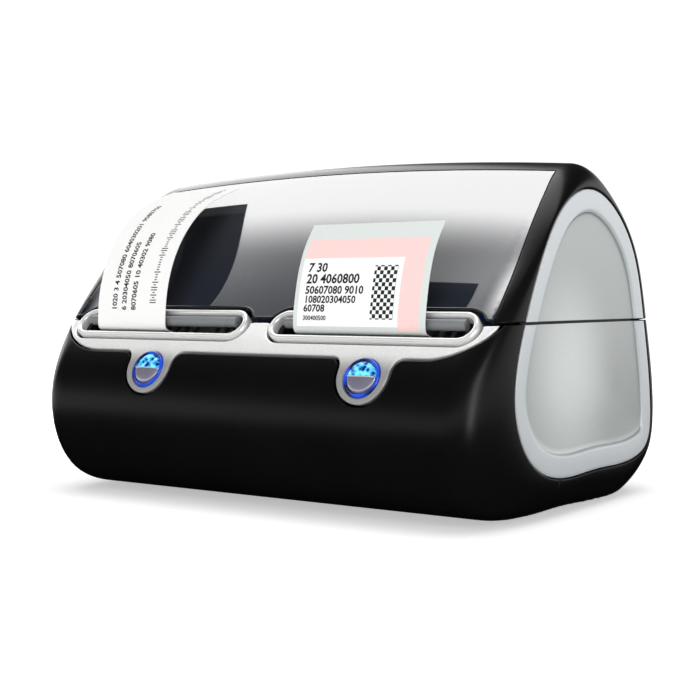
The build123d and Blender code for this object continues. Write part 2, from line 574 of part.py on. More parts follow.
FRAME_SIDE = [(-60.5, 58.5), (-52.5, 64), (-47, 69.5), (-38, 74), (-33, 70), (-28, 58),
              (-26, 48), (-26, 3.5), (-37.5, 3.5), (-52, 14), (-60.5, 40)]
LEVER_TIP = (-39.0, 83.0)
for name, lane in LANES.items():
    with BuildPart() as engine_frame:
        for start in (-PLATE_OUT, PLATE_OUT - PLATE_THICK):
            with BuildSketch(Plane.YZ.offset(lane + start)):
                with BuildLine():
                    Polyline(*FRAME_SIDE, close=True)
                make_face()
            extrude(amount=PLATE_THICK)
        with Locations((lane, -32, 5.8)):
            Box(2 * PLATE_OUT, 10, 1.6)
        with BuildSketch(slot_plane(lane, -21)):
            with Locations((0, (SPRING_TO + 0.1) + 0.6)):
                Rectangle(2 * PLATE_OUT, 1.2)
        extrude(amount=9)
        for point, radius, x_from, x_to in (
            (HEAD_PIVOT, 1.5, -PLATE_OUT, PLATE_OUT),
            (RAIL, 2.0, -PLATE_OUT, PLATE_OUT),
            (IDLER, 1.5, GEAR_X - 0.8, -PLATE_OUT + 0.5),
            (LEVER_PIVOT, 1.5, PLATE_OUT - 0.5, PLATE_OUT + 5),
        ):
            with BuildSketch(across(lane + x_from, *point)):
                Circle(radius)
            extrude(amount=x_to - x_from)
        with BuildSketch(Plane.YZ.offset(lane - PLATE_OUT - 1)):
            with Locations(PLATEN):
                Circle(BUSH_R)
        extrude(amount=2 * PLATE_OUT + 2, mode=Mode.SUBTRACT)
        with BuildSketch(Plane.YZ.offset(lane - PLATE_OUT - 1)):
            with Locations(MOTOR):
                Circle(2.0)
        extrude(amount=PLATE_THICK + 2, mode=Mode.SUBTRACT)
    save(engine_frame, f"engine_frame_{name}")

    with BuildPart() as stepper_motor:
        with BuildSketch(across(lane - PLATE_OUT + PLATE_THICK, *MOTOR)):
            Circle(MOTOR_R)
        extrude(amount=MOTOR_LENGTH)
        fillet(stepper_motor.edges().filter_by(GeomType.CIRCLE), 0.8)
        with BuildSketch(across(lane - PLATE_OUT + PLATE_THICK, *MOTOR)):
            Circle(1.0 + RUN)
        extrude(amount=4, mode=Mode.SUBTRACT)
    save(stepper_motor, f"stepper_motor_{name}")

    with BuildPart() as motor_pinion:
        with BuildSketch(across(lane + GEAR_X, *MOTOR)):
            add(gear_face(PINION_TEETH, 0.5, PINION_PHASE))
        extrude(amount=GEAR_THICK)
        with BuildSketch(across(lane + GEAR_X, *MOTOR)):
            Circle(1.0)
        extrude(amount=9.5)
    save(motor_pinion, f"motor_pinion_{name}")

    with BuildPart() as idler_gear:
        with BuildSketch(across(lane + GEAR_X, *IDLER)):
            add(gear_face(IDLER_TEETH, 1.5 + RUN, IDLER_PHASE))
        extrude(amount=GEAR_THICK)
    save(idler_gear, f"idler_gear_{name}")

    with BuildPart() as platen_gear:
        with BuildSketch(across(lane + GEAR_X, *PLATEN)):
            add(gear_face(PLATEN_TEETH, SHAFT_R, IDLER_ANGLE))
        extrude(amount=GEAR_THICK)
    save(platen_gear, f"platen_gear_{name}")

    with BuildPart() as platen_roller:
        with BuildSketch(across(lane - 30, *PLATEN)):
            Circle(PLATEN_R)
        extrude(amount=60)
        with BuildSketch(across(lane + GEAR_X, *PLATEN)):
            Circle(SHAFT_R)
        extrude(amount=76.5)
    save(platen_roller, f"platen_roller_{name}")

    with BuildPart() as print_head:
        with BuildSketch(slot_plane(lane, -25)):
            with Locations((0, 0.12 + HEAD_THICK / 2)):
                Rectangle(HEAD_LENGTH, HEAD_THICK)
        extrude(amount=HEAD_DEPTH)
    save(print_head, f"print_head_{name}")

    with BuildPart() as heat_sink:
        with BuildSketch(slot_plane(lane, -24.5)):
            with Locations((0, 4.15)):
                Rectangle(SINK_LENGTH, 5.7)
            with Locations([(x, 5.5) for x in (-26, -21, -10, -5, 0, 5, 10, 21, 26)]):
                Rectangle(SINK_FIN_GAP, 4.0, mode=Mode.SUBTRACT)
        extrude(amount=15)
        for start in (-29, 20):
            with BuildSketch(across(lane + start, *HEAD_PIVOT)):
                Circle(2.6)
            extrude(amount=9)
        with BuildSketch(across(lane - 40, *HEAD_PIVOT)):
            Circle(1.5 + RUN)
        extrude(amount=80, mode=Mode.SUBTRACT)
    save(heat_sink, f"heat_sink_{name}")

    with BuildPart() as head_springs:
        for x in SPRING_X:
            tilt = math.radians(SLOT_TILT)
            foot = (lane + x, *slot_point(SPRING_FROM + 0.35, -16))
            with BuildLine() as coil:
                Helix(pitch=0.95, height=SPRING_TO - SPRING_FROM - 0.7, radius=1.9, center=foot,
                      direction=(0, math.cos(tilt), math.sin(tilt)))
            with BuildSketch(Plane(origin=coil.line @ 0, z_dir=coil.line % 0)):
                Circle(0.28)
            sweep(path=coil.line)
    save(head_springs, f"head_springs_{name}")

    with BuildPart() as release_lever:
        with BuildSketch(across(lane + PLATE_OUT + 1.4, 0, 0)):
            with Locations(LEVER_PIVOT):
                Circle(4)
            with Locations(LEVER_TIP):
                Circle(2.5)
            make_hull()
            with Locations(LEVER_PIVOT):
                Circle(1.5 + RUN, mode=Mode.SUBTRACT)
        extrude(amount=2.6)
        with BuildSketch(across(lane + PLATE_OUT - 1.5, 0, 0)):
            with Locations(LEVER_TIP):
                Circle(2.5)
        extrude(amount=8)
    save(release_lever, f"release_lever_{name}")

    guide_x = lane + PATH_EDGE + STRIP_WIDTH[name] + 0.6
    with BuildPart() as label_guide:
        with BuildSketch(across(guide_x - 5, *RAIL)):
            Circle(4)
        extrude(amount=10)
        with BuildSketch(across(guide_x, 0, 0)):
            with BuildLine():
                Polyline((-38, 40), (-38, 49.5), (-27, 49.5), (-27, 42), (-29, 40), close=True)
            make_face()
        extrude(amount=1.6)
        with BuildSketch(across(guide_x - 6, *RAIL)):
            Circle(2.0 + RUN)
        extrude(amount=12, mode=Mode.SUBTRACT)
    save(label_guide, f"label_guide_{name}")

with BuildPart() as platen_bushes:
    for lane in LANES.values():
        for start in (-35.9, 32.9):
            with BuildSketch(across(lane + start, *PLATEN)):
                Circle(BUSH_R)
                Circle(SHAFT_R + RUN, mode=Mode.SUBTRACT)
            extrude(amount=3.0)
save(platen_bushes, "platen_bushes")

# ---------------------------------------------------------------- printed strips in the slots
STRIP_ROUTES = {
    "left": [(-60.9, 71.5), (-60.3, 79.0), (-56.8, 92.0), (-49.0, 105.2), (-37.5, 115.8), (-15.0, 125.5)],
    "right": [(-61.1, 71.0), (-60.5, 76.5), (-57.2, 90.5), (-53.3, 99.0), (-47.5, 107.0)],
}
for name, lane in LANES.items():
    route = [slot_point(0, -7.5), slot_point(-0.9, -3.6), slot_point(-2.1, -0.8)] + STRIP_ROUTES[name]
    save(path_strip(route, lane + PATH_EDGE, STRIP_WIDTH[name], STRIP_THICK), f"label_strip_{name}")

# ---------------------------------------------------------------- buttons and their light rings
LENS_CHORD = 0.2            # height of the line that divides cap and lens
CAP_DEEP, STEM_DEEP, STEM_R = 4.0, 9.5, 2.2
for name, lane in LANES.items():
    x = lane + BUTTON_SHIFT
    with BuildPart() as button_cap:
        with BuildSketch(button_plane(x, -CAP_DEEP)):
            Circle(BUTTON_R)
        extrude(amount=CAP_DEEP - 1.0)
        with BuildSketch(button_plane(x, -1.0)):
            Circle(BUTTON_R)
            with Locations((0, LENS_CHORD + 10)):
                Rectangle(20, 20, mode=Mode.SUBTRACT)
        extrude(amount=1.9)
        with BuildSketch(button_plane(x, -STEM_DEEP)):
            Circle(STEM_R)
        extrude(amount=STEM_DEEP - CAP_DEEP)
    save(button_cap, f"button_cap_{name}")

    with BuildPart() as button_lens:
        with BuildSketch(button_plane(x, -1.0)):
            Circle(BUTTON_R)
            with Locations((0, LENS_CHORD + 0.1 - 10)):
                Rectangle(20, 20, mode=Mode.SUBTRACT)
        extrude(amount=2.2)
    save(button_lens, f"button_lens_{name}")

with BuildPart() as light_rings:
    for lane in LANES.values():
        with BuildSketch(button_plane(lane + BUTTON_SHIFT, -2.4)):
            Circle(LIGHT_RING_R)
            Circle(BUTTON_R + 0.2, mode=Mode.SUBTRACT)
        extrude(amount=3.0)
save(light_rings, "light_rings")

# ---------------------------------------------------------------- main board and sockets
BOARD_LENGTH, BOARD_DEPTH, BOARD_Y = 130.0, 68.0, 30.0
with BuildPart() as main_board:
    with Locations((0, BOARD_Y, BOARD_TOP - BOARD_THICK / 2)):
        Box(BOARD_LENGTH, BOARD_DEPTH, BOARD_THICK)
    with Locations([(x, y, BOARD_TOP + 1.0) for x in (-40, -15, 15) for y in (12, 35)]):
        Box(10, 10, 2.0)
    with Locations([(x, 45, BOARD_TOP + 4.0) for x in (-50, -38)]):
        Cylinder(4, 8)
save(main_board, "main_board")

for name, (x, width, height) in SOCKETS.items():
    with BuildPart() as socket:
        with Locations((x, 64.5, BOARD_TOP + height / 2)):
            Box(width, 16, height)
        if name == "usb_socket":
            with Locations((x, 68.5, BOARD_TOP + height / 2)):
                Box(width - 3.0, 9, height - 3.0, mode=Mode.SUBTRACT)
            with Locations((x, 67.0, BOARD_TOP + height / 2)):
                Box(width - 6.5, 9, 3.0)
        else:
            jack = Plane(origin=(x, 72.5, BOARD_TOP + height / 2), x_dir=(1, 0, 0), z_dir=(0, 1, 0))
            with BuildSketch(jack):
                Circle(3.0)
            extrude(amount=-10, mode=Mode.SUBTRACT)
            with BuildSketch(jack.offset(-1.0)):
                Circle(1.0)
            extrude(amount=-10)
    save(socket, name)
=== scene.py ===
import math

import bmesh
import bpy
import numpy as np
from mathutils import Euler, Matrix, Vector, kdtree
from mathutils.geometry import delaunay_2d_cdt


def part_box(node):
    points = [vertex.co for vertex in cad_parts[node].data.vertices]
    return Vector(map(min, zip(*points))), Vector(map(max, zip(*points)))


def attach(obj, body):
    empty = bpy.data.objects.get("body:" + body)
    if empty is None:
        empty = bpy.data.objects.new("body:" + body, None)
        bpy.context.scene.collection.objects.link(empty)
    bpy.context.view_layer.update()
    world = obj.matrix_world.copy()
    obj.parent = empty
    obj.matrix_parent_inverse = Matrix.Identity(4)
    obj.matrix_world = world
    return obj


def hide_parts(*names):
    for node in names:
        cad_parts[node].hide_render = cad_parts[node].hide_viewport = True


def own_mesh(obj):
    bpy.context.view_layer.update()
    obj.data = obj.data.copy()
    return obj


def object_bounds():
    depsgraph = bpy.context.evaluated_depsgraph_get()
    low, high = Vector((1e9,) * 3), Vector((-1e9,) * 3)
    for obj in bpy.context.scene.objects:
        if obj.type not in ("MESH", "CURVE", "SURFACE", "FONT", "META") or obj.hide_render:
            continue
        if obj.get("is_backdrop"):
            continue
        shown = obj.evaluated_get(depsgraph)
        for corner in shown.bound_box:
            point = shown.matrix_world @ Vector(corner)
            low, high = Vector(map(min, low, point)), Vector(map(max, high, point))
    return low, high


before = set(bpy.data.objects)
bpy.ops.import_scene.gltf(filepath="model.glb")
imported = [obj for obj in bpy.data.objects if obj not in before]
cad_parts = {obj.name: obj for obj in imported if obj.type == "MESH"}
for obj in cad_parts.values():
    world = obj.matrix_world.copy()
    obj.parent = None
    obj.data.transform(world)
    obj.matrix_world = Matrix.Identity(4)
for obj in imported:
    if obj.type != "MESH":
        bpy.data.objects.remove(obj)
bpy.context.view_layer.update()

# ---------------------------------------------------------------- front cover
# Black ABS moulding: the belly of the case from the split in the floor up to the seam under the
# lid, screwed to the base plate from below.  The whole case is one lofted skin: a ring of profile
# stations that shrink towards the end faces, and every shell below is cut out of that skin.
PROFILE = np.array((        # outer y, outer z, end face y, end face z, corner radius, in mm
    (-77.0, 33.5, -52.5, 42.0, 16.0), (-71.6, 54.0, -51.5, 55.0, 13.0), (-59.3, 69.3, -45.8, 70.0, 7.0),
    (-38.0, 92.6, -33.0, 93.5, 6.0), (-14.0, 118.3, -12.0, 115.4, 8.0), (8.0, 130.4, 7.0, 120.6, 10.0),
    (34.0, 119.5, 29.5, 114.4, 10.0), (57.6, 97.0, 49.0, 97.0, 10.0), (68.3, 71.0, 59.2, 71.0, 10.0),
    (77.15, 38.7, 66.6, 38.7, 10.0), (73.2, 18.0, 64.2, 21.0, 10.0), (52.0, 1.2, 50.0, 15.2, 12.0),
    (7.0, 0.8, 14.0, 14.4, 12.0), (-38.0, 1.2, -22.0, 15.0, 14.0), (-67.0, 10.5, -42.5, 24.0, 16.0)))
HALF = 105.0                # case centre to its end face
SEAM, CREST = 71.0, 130.4
CROWN, CROWN_HALF = 3.8, 95.0
END_TURN = 20.0             # how the sideways coordinate slows down into the ends
REACH = HALF + END_TURN / 2
WALL = 2.4
SOLE = 1.5                  # flat underside, standing on its feet


def profile(x):
    """Station points (y, z) of the skin at each width x."""
    x = np.abs(np.atleast_1d(x))[:, None]
    radius = PROFILE[:, 4]
    into_corner = np.clip((x - HALF + radius) / radius, 0.0, 1.0)
    spread = np.sqrt(1.0 - into_corner**2)
    lift = CROWN * np.maximum(0.0, 1.0 - (x / CROWN_HALF) ** 2)
    lift = lift * np.maximum(0.0, (PROFILE[:, 1] - SEAM) / (CREST - SEAM))
    y = PROFILE[:, 2] + (PROFILE[:, 0] - PROFILE[:, 2]) * spread
    z = PROFILE[:, 3] + (PROFILE[:, 1] + lift - PROFILE[:, 3]) * spread
    return np.stack([y, z], axis=-1)


def closed_curves(points):
    """Periodic cubic spline through each row of points: knots, lengths and second derivatives."""
    count = points.shape[1]
    ahead = np.roll(points, -1, axis=1)
    span = np.linalg.norm(ahead - points, axis=2)
    before = np.roll(span, 1, axis=1)
    slope = (ahead - points) / span[..., None]
    system = np.zeros((len(points), count, count))
    index = np.arange(count)
    system[:, index, index] = 2 * (before + span)
    system[:, index, (index + 1) % count] += span
    system[:, index, (index - 1) % count] += before
    bend = np.linalg.solve(system, 6 * (slope - np.roll(slope, 1, axis=1)))
    return points, span, bend


STATION_AT = np.concatenate([[0.0], np.cumsum(closed_curves(profile(0.0))[1][0])])
GIRTH = STATION_AT[-1]


def on_curves(curves, b):
    """(y, z) on each curve at girth b."""
    points, span, bend = curves
    b = np.mod(b, GIRTH)
    i = np.clip(np.searchsorted(STATION_AT, b, side="right") - 1, 0, len(PROFILE) - 1)
    j = (i + 1) % len(PROFILE)
    row = np.arange(len(b))
    h = span[row, i][:, None]
    t = ((b - STATION_AT[i]) / (STATION_AT[i + 1] - STATION_AT[i]))[:, None] * h
    p, q, m, n = points[row, i], points[row, j], bend[row, i], bend[row, j]
    return (m * (h - t) ** 3 + n * t**3) / (6 * h) + (p / h - m * h / 6) * (h - t) + (q / h - n * h / 6) * t


def width_of(a):
    """Real width x for sideways coordinate a."""
    size = np.abs(a)
    turned = HALF - (REACH - np.minimum(size, REACH)) ** 2 / (2 * END_TURN)
    return np.sign(a) * np.where(size <= HALF - END_TURN / 2, size, turned)


def sideways(x):
    """Sideways coordinate a for real width x."""
    size = np.abs(x)
    turned = REACH - np.sqrt(2 * END_TURN * np.maximum(HALF - size, 0.0))
    return np.sign(x) * np.where(size <= HALF - END_TURN / 2, size, turned)


def skin(a, b):
    """Points on the skin, in mm."""
    x = width_of(a)
    widths, back = np.unique(np.round(np.abs(x), 6), return_inverse=True)
    points, span, bend = closed_curves(profile(widths))
    yz = on_curves((points[back], span[back], bend[back]), b)
    return np.column_stack([x, yz])


def skin_frame(a, b):
    """Point, both derivatives and the outward normal of the skin."""
    step = 0.05
    a_low, a_high = np.maximum(a - step, -REACH), np.minimum(a + step, REACH)
    along_a = (skin(a_high, b) - skin(a_low, b)) / (a_high - a_low)[:, None]
    along_b = (skin(a, b + step) - skin(a, b - step)) / (2 * step)
    normal = np.cross(along_a, along_b)
    return skin(a, b), along_a, along_b, normal / np.linalg.norm(normal, axis=1)[:, None]


def girth_where(x, value, look, low, high):
    """Girth between low and high where y*look[0] + z*look[1] equals value, at each width x."""
    x, value = np.broadcast_arrays(np.asarray(x, float), np.asarray(value, float))
    curves = closed_curves(profile(x))
    low, high = np.full(len(x), float(low)), np.full(len(x), float(high))
    look = np.array(look)
    rising = on_curves(curves, high) @ look > on_curves(curves, low) @ look
    for _ in range(40):
        middle = (low + high) / 2
        above = (on_curves(curves, middle) @ look > value) == rising
        high, low = np.where(above, middle, high), np.where(above, low, middle)
    return (low + high) / 2


FRONT_VIEW = (0.0, 1.0)
BELLY, FRONT_TOP = GIRTH - 12.0, GIRTH + STATION_AT[5] - 6.0     # girth range seen from the front
BACK_TOP = STATION_AT[5] + 6.0
FLOOR_REAR, FLOOR_FRONT = STATION_AT[11], STATION_AT[14]


def front_trace(points):
    """Outline given in the front view, as skin coordinates."""
    points = np.asarray(points, float)
    b = girth_where(points[:, 0], points[:, 1], FRONT_VIEW, BELLY, FRONT_TOP)
    return np.column_stack([sideways(points[:, 0]), b])


def fine_line(points, step=0.8):
    """The same line with no gap longer than step, without its last point."""
    points = np.asarray(points, float)
    rows = []
    for p, q in zip(points[:-1], points[1:]):
        count = max(1, int(math.ceil(np.linalg.norm(q - p) / step)))
        rows.append(p + (q - p) * np.arange(count)[:, None] / count)
    return np.concatenate(rows)


def is_inside(points, loops):
    """Even-odd test of points against closed loops."""
    inside = np.zeros(len(points), bool)
    for loop in loops:
        ax, ay = loop[:, 0], loop[:, 1]
        bx, by = np.roll(ax, -1), np.roll(ay, -1)
        drop = np.where(by == ay, 1e-12, by - ay)
        for start in range(0, len(points), 2000):
            px, py = points[start:start + 2000, 0:1], points[start:start + 2000, 1:2]
            crossing = ((ay > py) != (by > py)) & (px < (bx - ax) * (py - ay) / drop + ax)
            inside[start:start + 2000] ^= (crossing.sum(axis=1) % 2).astype(bool)
    return inside


def mesh_object(name, verts, faces, material, normals=None, scale=0.001):
    """A mesh in metres from points in mm, smooth, with its own corner normals if given."""
    mesh = bpy.data.meshes.new(name)
    mesh.from_pydata((np.asarray(verts) * scale).tolist(), [], faces)
    mesh.polygons.foreach_set("use_smooth", [True] * len(mesh.polygons))
    mesh.materials.append(material)
    if normals is not None:
        mesh.normals_split_custom_set(normals)
    mesh.update()
    piece = bpy.data.objects.new(name, mesh)
    bpy.context.scene.collection.objects.link(piece)
    return piece


def clear_corners(loop, reach):
    """The loop without points that crowd its corners, so that its lip can turn them cleanly."""
    keep = np.linalg.norm(loop - np.roll(loop, 1, axis=0), axis=1) > 0.3
    loop = loop[keep]
    ahead, back = np.roll(loop, -1, axis=0) - loop, loop - np.roll(loop, 1, axis=0)
    turn = np.abs(back[:, 0] * ahead[:, 1] - back[:, 1] * ahead[:, 0])
    straight = np.linalg.norm(ahead, axis=1) * np.linalg.norm(back, axis=1)
    corner = (turn > 0.45 * straight) | (np.sum(ahead * back, axis=1) < 0)
    gap = np.linalg.norm(loop[:, None] - loop[corner][None], axis=2).min(axis=1, initial=1e9)
    return loop[corner | (gap > reach)]


def moulded(name, loops, material, lip=0.4, wall=WALL, step=2.4, sink=0.0):
    """A moulded shell cut from the skin along closed loops, with rounded lips, an inner face and
    a wall between them.  The first loop runs anticlockwise and holes run clockwise."""
    turns = 4
    verts, faces, normals = [], [], []
    inner_rows, edge_rows, flat_loops = [], [], []
    under_rows, offset = [], 0
    for loop in loops:
        loop = clear_corners(loop, 2.6 * lip)
        n = len(loop)
        point, along_a, along_b, normal = skin_frame(loop[:, 0], loop[:, 1])
        tangent = np.roll(point, -1, axis=0) - np.roll(point, 1, axis=0)
        side = np.cross(tangent, normal)
        side /= np.linalg.norm(side, axis=1)[:, None]
        jacobian = np.stack([along_a, along_b], axis=2)
        inwards = -np.einsum("nij,nj->ni", np.linalg.pinv(jacobian), side)
        rows = []
        for k in range(turns + 1):
            turn = math.radians(90 - 90 * k / turns)
            flat = loop + inwards * lip * (1 - math.sin(turn))
            flat[:, 0] = np.clip(flat[:, 0], -REACH, REACH)
            top, _, _, up = skin_frame(flat[:, 0], flat[:, 1])
            rows.append(np.arange(n) + offset)
            verts.append(top - up * (lip * (1 - math.cos(turn)) + sink))
            normals.append(math.cos(turn) * up + math.sin(turn) * side)
            offset += n
        verts.append(point - normal * (wall + sink))
        normals.append(side)
        rows.insert(0, np.arange(n) + offset)
        offset += n
        for low, high in zip(rows[:-1], rows[1:]):
            for i in range(n):
                j = (i + 1) % n
                faces.append((low[i], low[j], high[j], high[i]))
        inner_rows.append(rows[0])
        edge_rows.append(rows[-1])
        flat_loops.append(flat)
        under_rows.append(normal)
    border = np.concatenate(flat_loops)
    low, high = border.min(axis=0), border.max(axis=0)
    a_grid = np.arange(low[0], high[0], step)
    b_grid = np.arange(low[1], high[1], step * 0.8)
    grid = np.array([(a, b) for b in b_grid for a in a_grid + step * 0.5 * (round(b / step) % 2)])
    ends = np.array([(s * (REACH - d), b) for s in (-1, 1) for d in (1.2, 2.6, 4.2, 6.0) for b in b_grid])
    grid = np.concatenate([grid, ends])
    grid = grid[is_inside(grid, flat_loops)]
    near = kdtree.KDTree(len(border))
    for i, p in enumerate(border):
        near.insert((p[0], p[1], 0), i)
    near.balance()
    grid = np.array([p for p in grid if near.find((p[0], p[1], 0))[2] > 0.45 * min(step, 1.6)])
    flat_points = [Vector(p) for p in np.concatenate([border, grid])]
    edges, start = [], 0
    for loop in flat_loops:
        n = len(loop)
        edges += [(start + i, start + (i + 1) % n) for i in range(n)]
        start += n
    made = delaunay_2d_cdt(flat_points, edges, [], 0, 1e-7)
    origin = [source[0] for source in made[3]]
    triangles = np.array([[origin[v] for v in face] for face in made[2]])
    flat_all = np.concatenate([border, grid])
    middle = flat_all[triangles].mean(axis=1)
    triangles = triangles[is_inside(middle, flat_loops)]
    top, _, _, up = skin_frame(grid[:, 0], grid[:, 1])
    outer_ids = np.concatenate(edge_rows + [np.arange(len(grid)) + offset])
    verts.append(top - up * sink)
    normals.append(up)
    offset += len(grid)
    inner_ids = np.concatenate(inner_rows + [np.arange(len(grid)) + offset])
    verts.append(top - up * (wall + sink))
    normals.append(-up)
    verts, normals = np.concatenate(verts), np.concatenate(normals)
    lowest = np.full(len(verts), SOLE)
    lowest[inner_ids] += wall
    verts[:, 2] = np.maximum(verts[:, 2], lowest)
    under = np.concatenate(under_rows + [up])
    corner_normals = [normals[v] for face in faces for v in face]
    for tri in triangles:
        faces.append(tuple(outer_ids[tri]))
        corner_normals += [normals[outer_ids[v]] for v in tri]
    for tri in triangles:
        faces.append(tuple(inner_ids[tri[::-1]]))
        corner_normals += [-under[v] for v in tri[::-1]]
    faces = [tuple(int(v) for v in face) for face in faces]
    return mesh_object(name, verts, faces, material, [tuple(n) for n in corner_normals])


def node_material(name):
    """An empty node material with its shader; returns the material, a node maker and a linker."""
    material = bpy.data.materials.new(name)
    material.use_nodes = True
    tree = material.node_tree
    shader = tree.nodes["Principled BSDF"]

    def add(kind, **values):
        node = tree.nodes.new(kind)
        for key, value in values.items():
            if hasattr(node, key):
                setattr(node, key, value)
            else:
                node.inputs[key.replace("_", " ")].default_value = value
        return node

    return material, shader, add, tree.links.new


def plastic(name, colour, roughness, grain=900.0, depth=0.00002, variation=0.25, specular=0.5):
    """Moulded plastic: fine spark-eroded grain, slight colour drift and patchy gloss."""
    material, shader, add, link = node_material(name)
    where = add("ShaderNodeTexCoord")
    drift = add("ShaderNodeTexNoise", Scale=35.0, Detail=4.0)
    link(where.outputs["Object"], drift.inputs["Vector"])
    tone = add("ShaderNodeMapRange")
    tone.inputs["To Min"].default_value = 1.0 - variation
    tone.inputs["To Max"].default_value = 1.0 + variation
    link(drift.outputs["Fac"], tone.inputs["Value"])
    tint = add("ShaderNodeVectorMath", operation="SCALE")
    tint.inputs[0].default_value = colour[:3]
    link(tone.outputs["Result"], tint.inputs["Scale"])
    link(tint.outputs["Vector"], shader.inputs["Base Color"])
    gloss = add("ShaderNodeMapRange")
    gloss.inputs["To Min"].default_value = roughness * 0.9
    gloss.inputs["To Max"].default_value = roughness * 1.1
    link(drift.outputs["Fac"], gloss.inputs["Value"])
    link(gloss.outputs["Result"], shader.inputs["Roughness"])
    pebble = add("ShaderNodeTexNoise", Scale=grain, Detail=2.0)
    link(where.outputs["Object"], pebble.inputs["Vector"])
    bump = add("ShaderNodeBump", Strength=0.5, Distance=depth)
    link(pebble.outputs["Fac"], bump.inputs["Height"])
    link(bump.outputs["Normal"], shader.inputs["Normal"])
    shader.inputs["Specular IOR Level"].default_value = specular
    return material


case_black = plastic("case_black", (0.0032, 0.0030, 0.0030), 0.30, specular=0.18)

SEAM_LOW = SEAM - 0.25      # top edge of the case
SPLIT_Y = -18.0             # the front and rear covers meet here in the floor
BEZEL_TOP, BEZEL_FOOT, BEZEL_HALF = 70.5, 59.4, 101.4
LANES = {"left": -50.3, "right": 50.3}
TONGUE_SHIFT, TONGUE_Z, TONGUE_R = 5.3, 53.7, 10.7
SHOULDER_R = 4.5
BASE_HALF = 92.3


def hermite(p, q, p_way, q_way, count=16):
    """Smooth curve from p to q with the given end directions."""
    p, q, p_way, q_way = (np.array(v, float) for v in (p, q, p_way, q_way))
    t = np.linspace(0, 1, count)[:, None]
    return ((2 * t**3 - 3 * t**2 + 1) * p + (t**3 - 2 * t**2 + t) * p_way
            + (3 * t**2 - 2 * t**3) * q + (t**3 - t**2) * q_way)


def arc(x, z, radius, start, end, count=18):
    """Points of an arc, angles in degrees."""
    turn = np.radians(np.linspace(start, end, count))
    return np.column_stack([x + radius * np.cos(turn), z + radius * np.sin(turn)])


def bezel_edge(grow):
    """Lower edge of the bezel from its left point to its right point, in the front view."""
    half, foot = BEZEL_HALF + grow, BEZEL_FOOT - grow
    left = hermite((-half, BEZEL_TOP), (-78, foot), (5.5, -17.5), (27, 0.0))
    line = [left]
    for lane in LANES.values():
        x, wide, turn = lane + TONGUE_SHIFT, TONGUE_R + grow, SHOULDER_R - grow
        line.append(arc(x - wide - turn, foot - turn, turn, 90, 0, 8))
        line.append(arc(x, TONGUE_Z, wide, 180, 360, 30))
        line.append(arc(x + wide + turn, foot - turn, turn, 180, 90, 8))
    line.append(left[::-1] * np.array([-1, 1]))
    return np.concatenate(line)


cover_gap = 1.0             # open groove between the bezel and the cover's lip
notch = bezel_edge(cover_gap)
seam_x = np.linspace(-BEZEL_HALF - cover_gap, -HALF, 20)
left_seam = [(-x, SEAM_LOW) for x in seam_x][::-1]
top_edge = np.concatenate([[(HALF, SEAM_LOW)], left_seam, notch[::-1], [(x, SEAM_LOW) for x in seam_x]])
apart = np.linalg.norm(np.diff(top_edge, axis=0), axis=1) > 0.01
top_edge = front_trace(fine_line(top_edge[np.r_[True, apart]]))


def floor_trace(points):
    """Outline given in the view from below, as skin coordinates."""
    points = np.asarray(points, float)
    b = girth_where(points[:, 0], points[:, 1], (1.0, 0.0), FLOOR_REAR, FLOOR_FRONT)
    return np.column_stack([sideways(points[:, 0]), b])


def floor_split(y, base_y):
    """The split in the floor from the left end to the right end, stepping round the base plate."""
    ends = np.linspace(HALF, BASE_HALF, 24)
    line = [(-x, y) for x in ends] + [(-BASE_HALF, base_y), (BASE_HALF, base_y)]
    line += [(x, y) for x in ends[::-1]]
    return floor_trace(fine_line(line + [(HALF, y)], 1.2))


def end_edge(sign, b_from, b_to):
    """The edge round an end face between two girths."""
    count = int(abs(b_to - b_from) / 0.9) + 2
    return np.column_stack([np.full(count, sign * REACH), np.linspace(b_from, b_to, count)])[1:-1]


bottom_edge = floor_split(SPLIT_Y - 0.1, -38.3)
front_loop = np.concatenate([
    bottom_edge, end_edge(1, bottom_edge[-1, 1], top_edge[0, 1]),
    top_edge, end_edge(-1, top_edge[-1, 1], bottom_edge[0, 1])])
front_cover = moulded("front_cover_shell", [front_loop], case_black)
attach(front_cover, "case")
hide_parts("front_cover")

# ---------------------------------------------------------------- rear cover
# Black ABS moulding behind the split: back wall, rear half of the floor, the openings for the two
# sockets, and half of the hinge knuckles along its top edge.
def back_trace(points):
    """Outline given in the rear view, as skin coordinates."""
    points = np.asarray(points, float)
    b = girth_where(points[:, 0], points[:, 1], FRONT_VIEW, BACK_TOP, FLOOR_REAR - 4.0)
    return np.column_stack([sideways(points[:, 0]), b])


def turned_clockwise(loop):
    area = np.sum(loop[:, 0] * np.roll(loop[:, 1], -1) - np.roll(loop[:, 0], -1) * loop[:, 1])
    return loop[::-1] if area > 0 else loop


def back_seam(z, notches, notch_z):
    """Line along the rear seam with a notch wherever the other half's hinge knuckles turn."""
    rounds = np.linspace(HALF, 90.0, 24)
    line = [(-x, z) for x in rounds]
    for x_from, x_to in notches:
        line += [(x_from, z), (x_from, notch_z), (x_to, notch_z), (x_to, z)]
    line += [(x, z) for x in rounds[::-1]]
    return back_trace(fine_line(line + [(HALF, z)], 1.2))


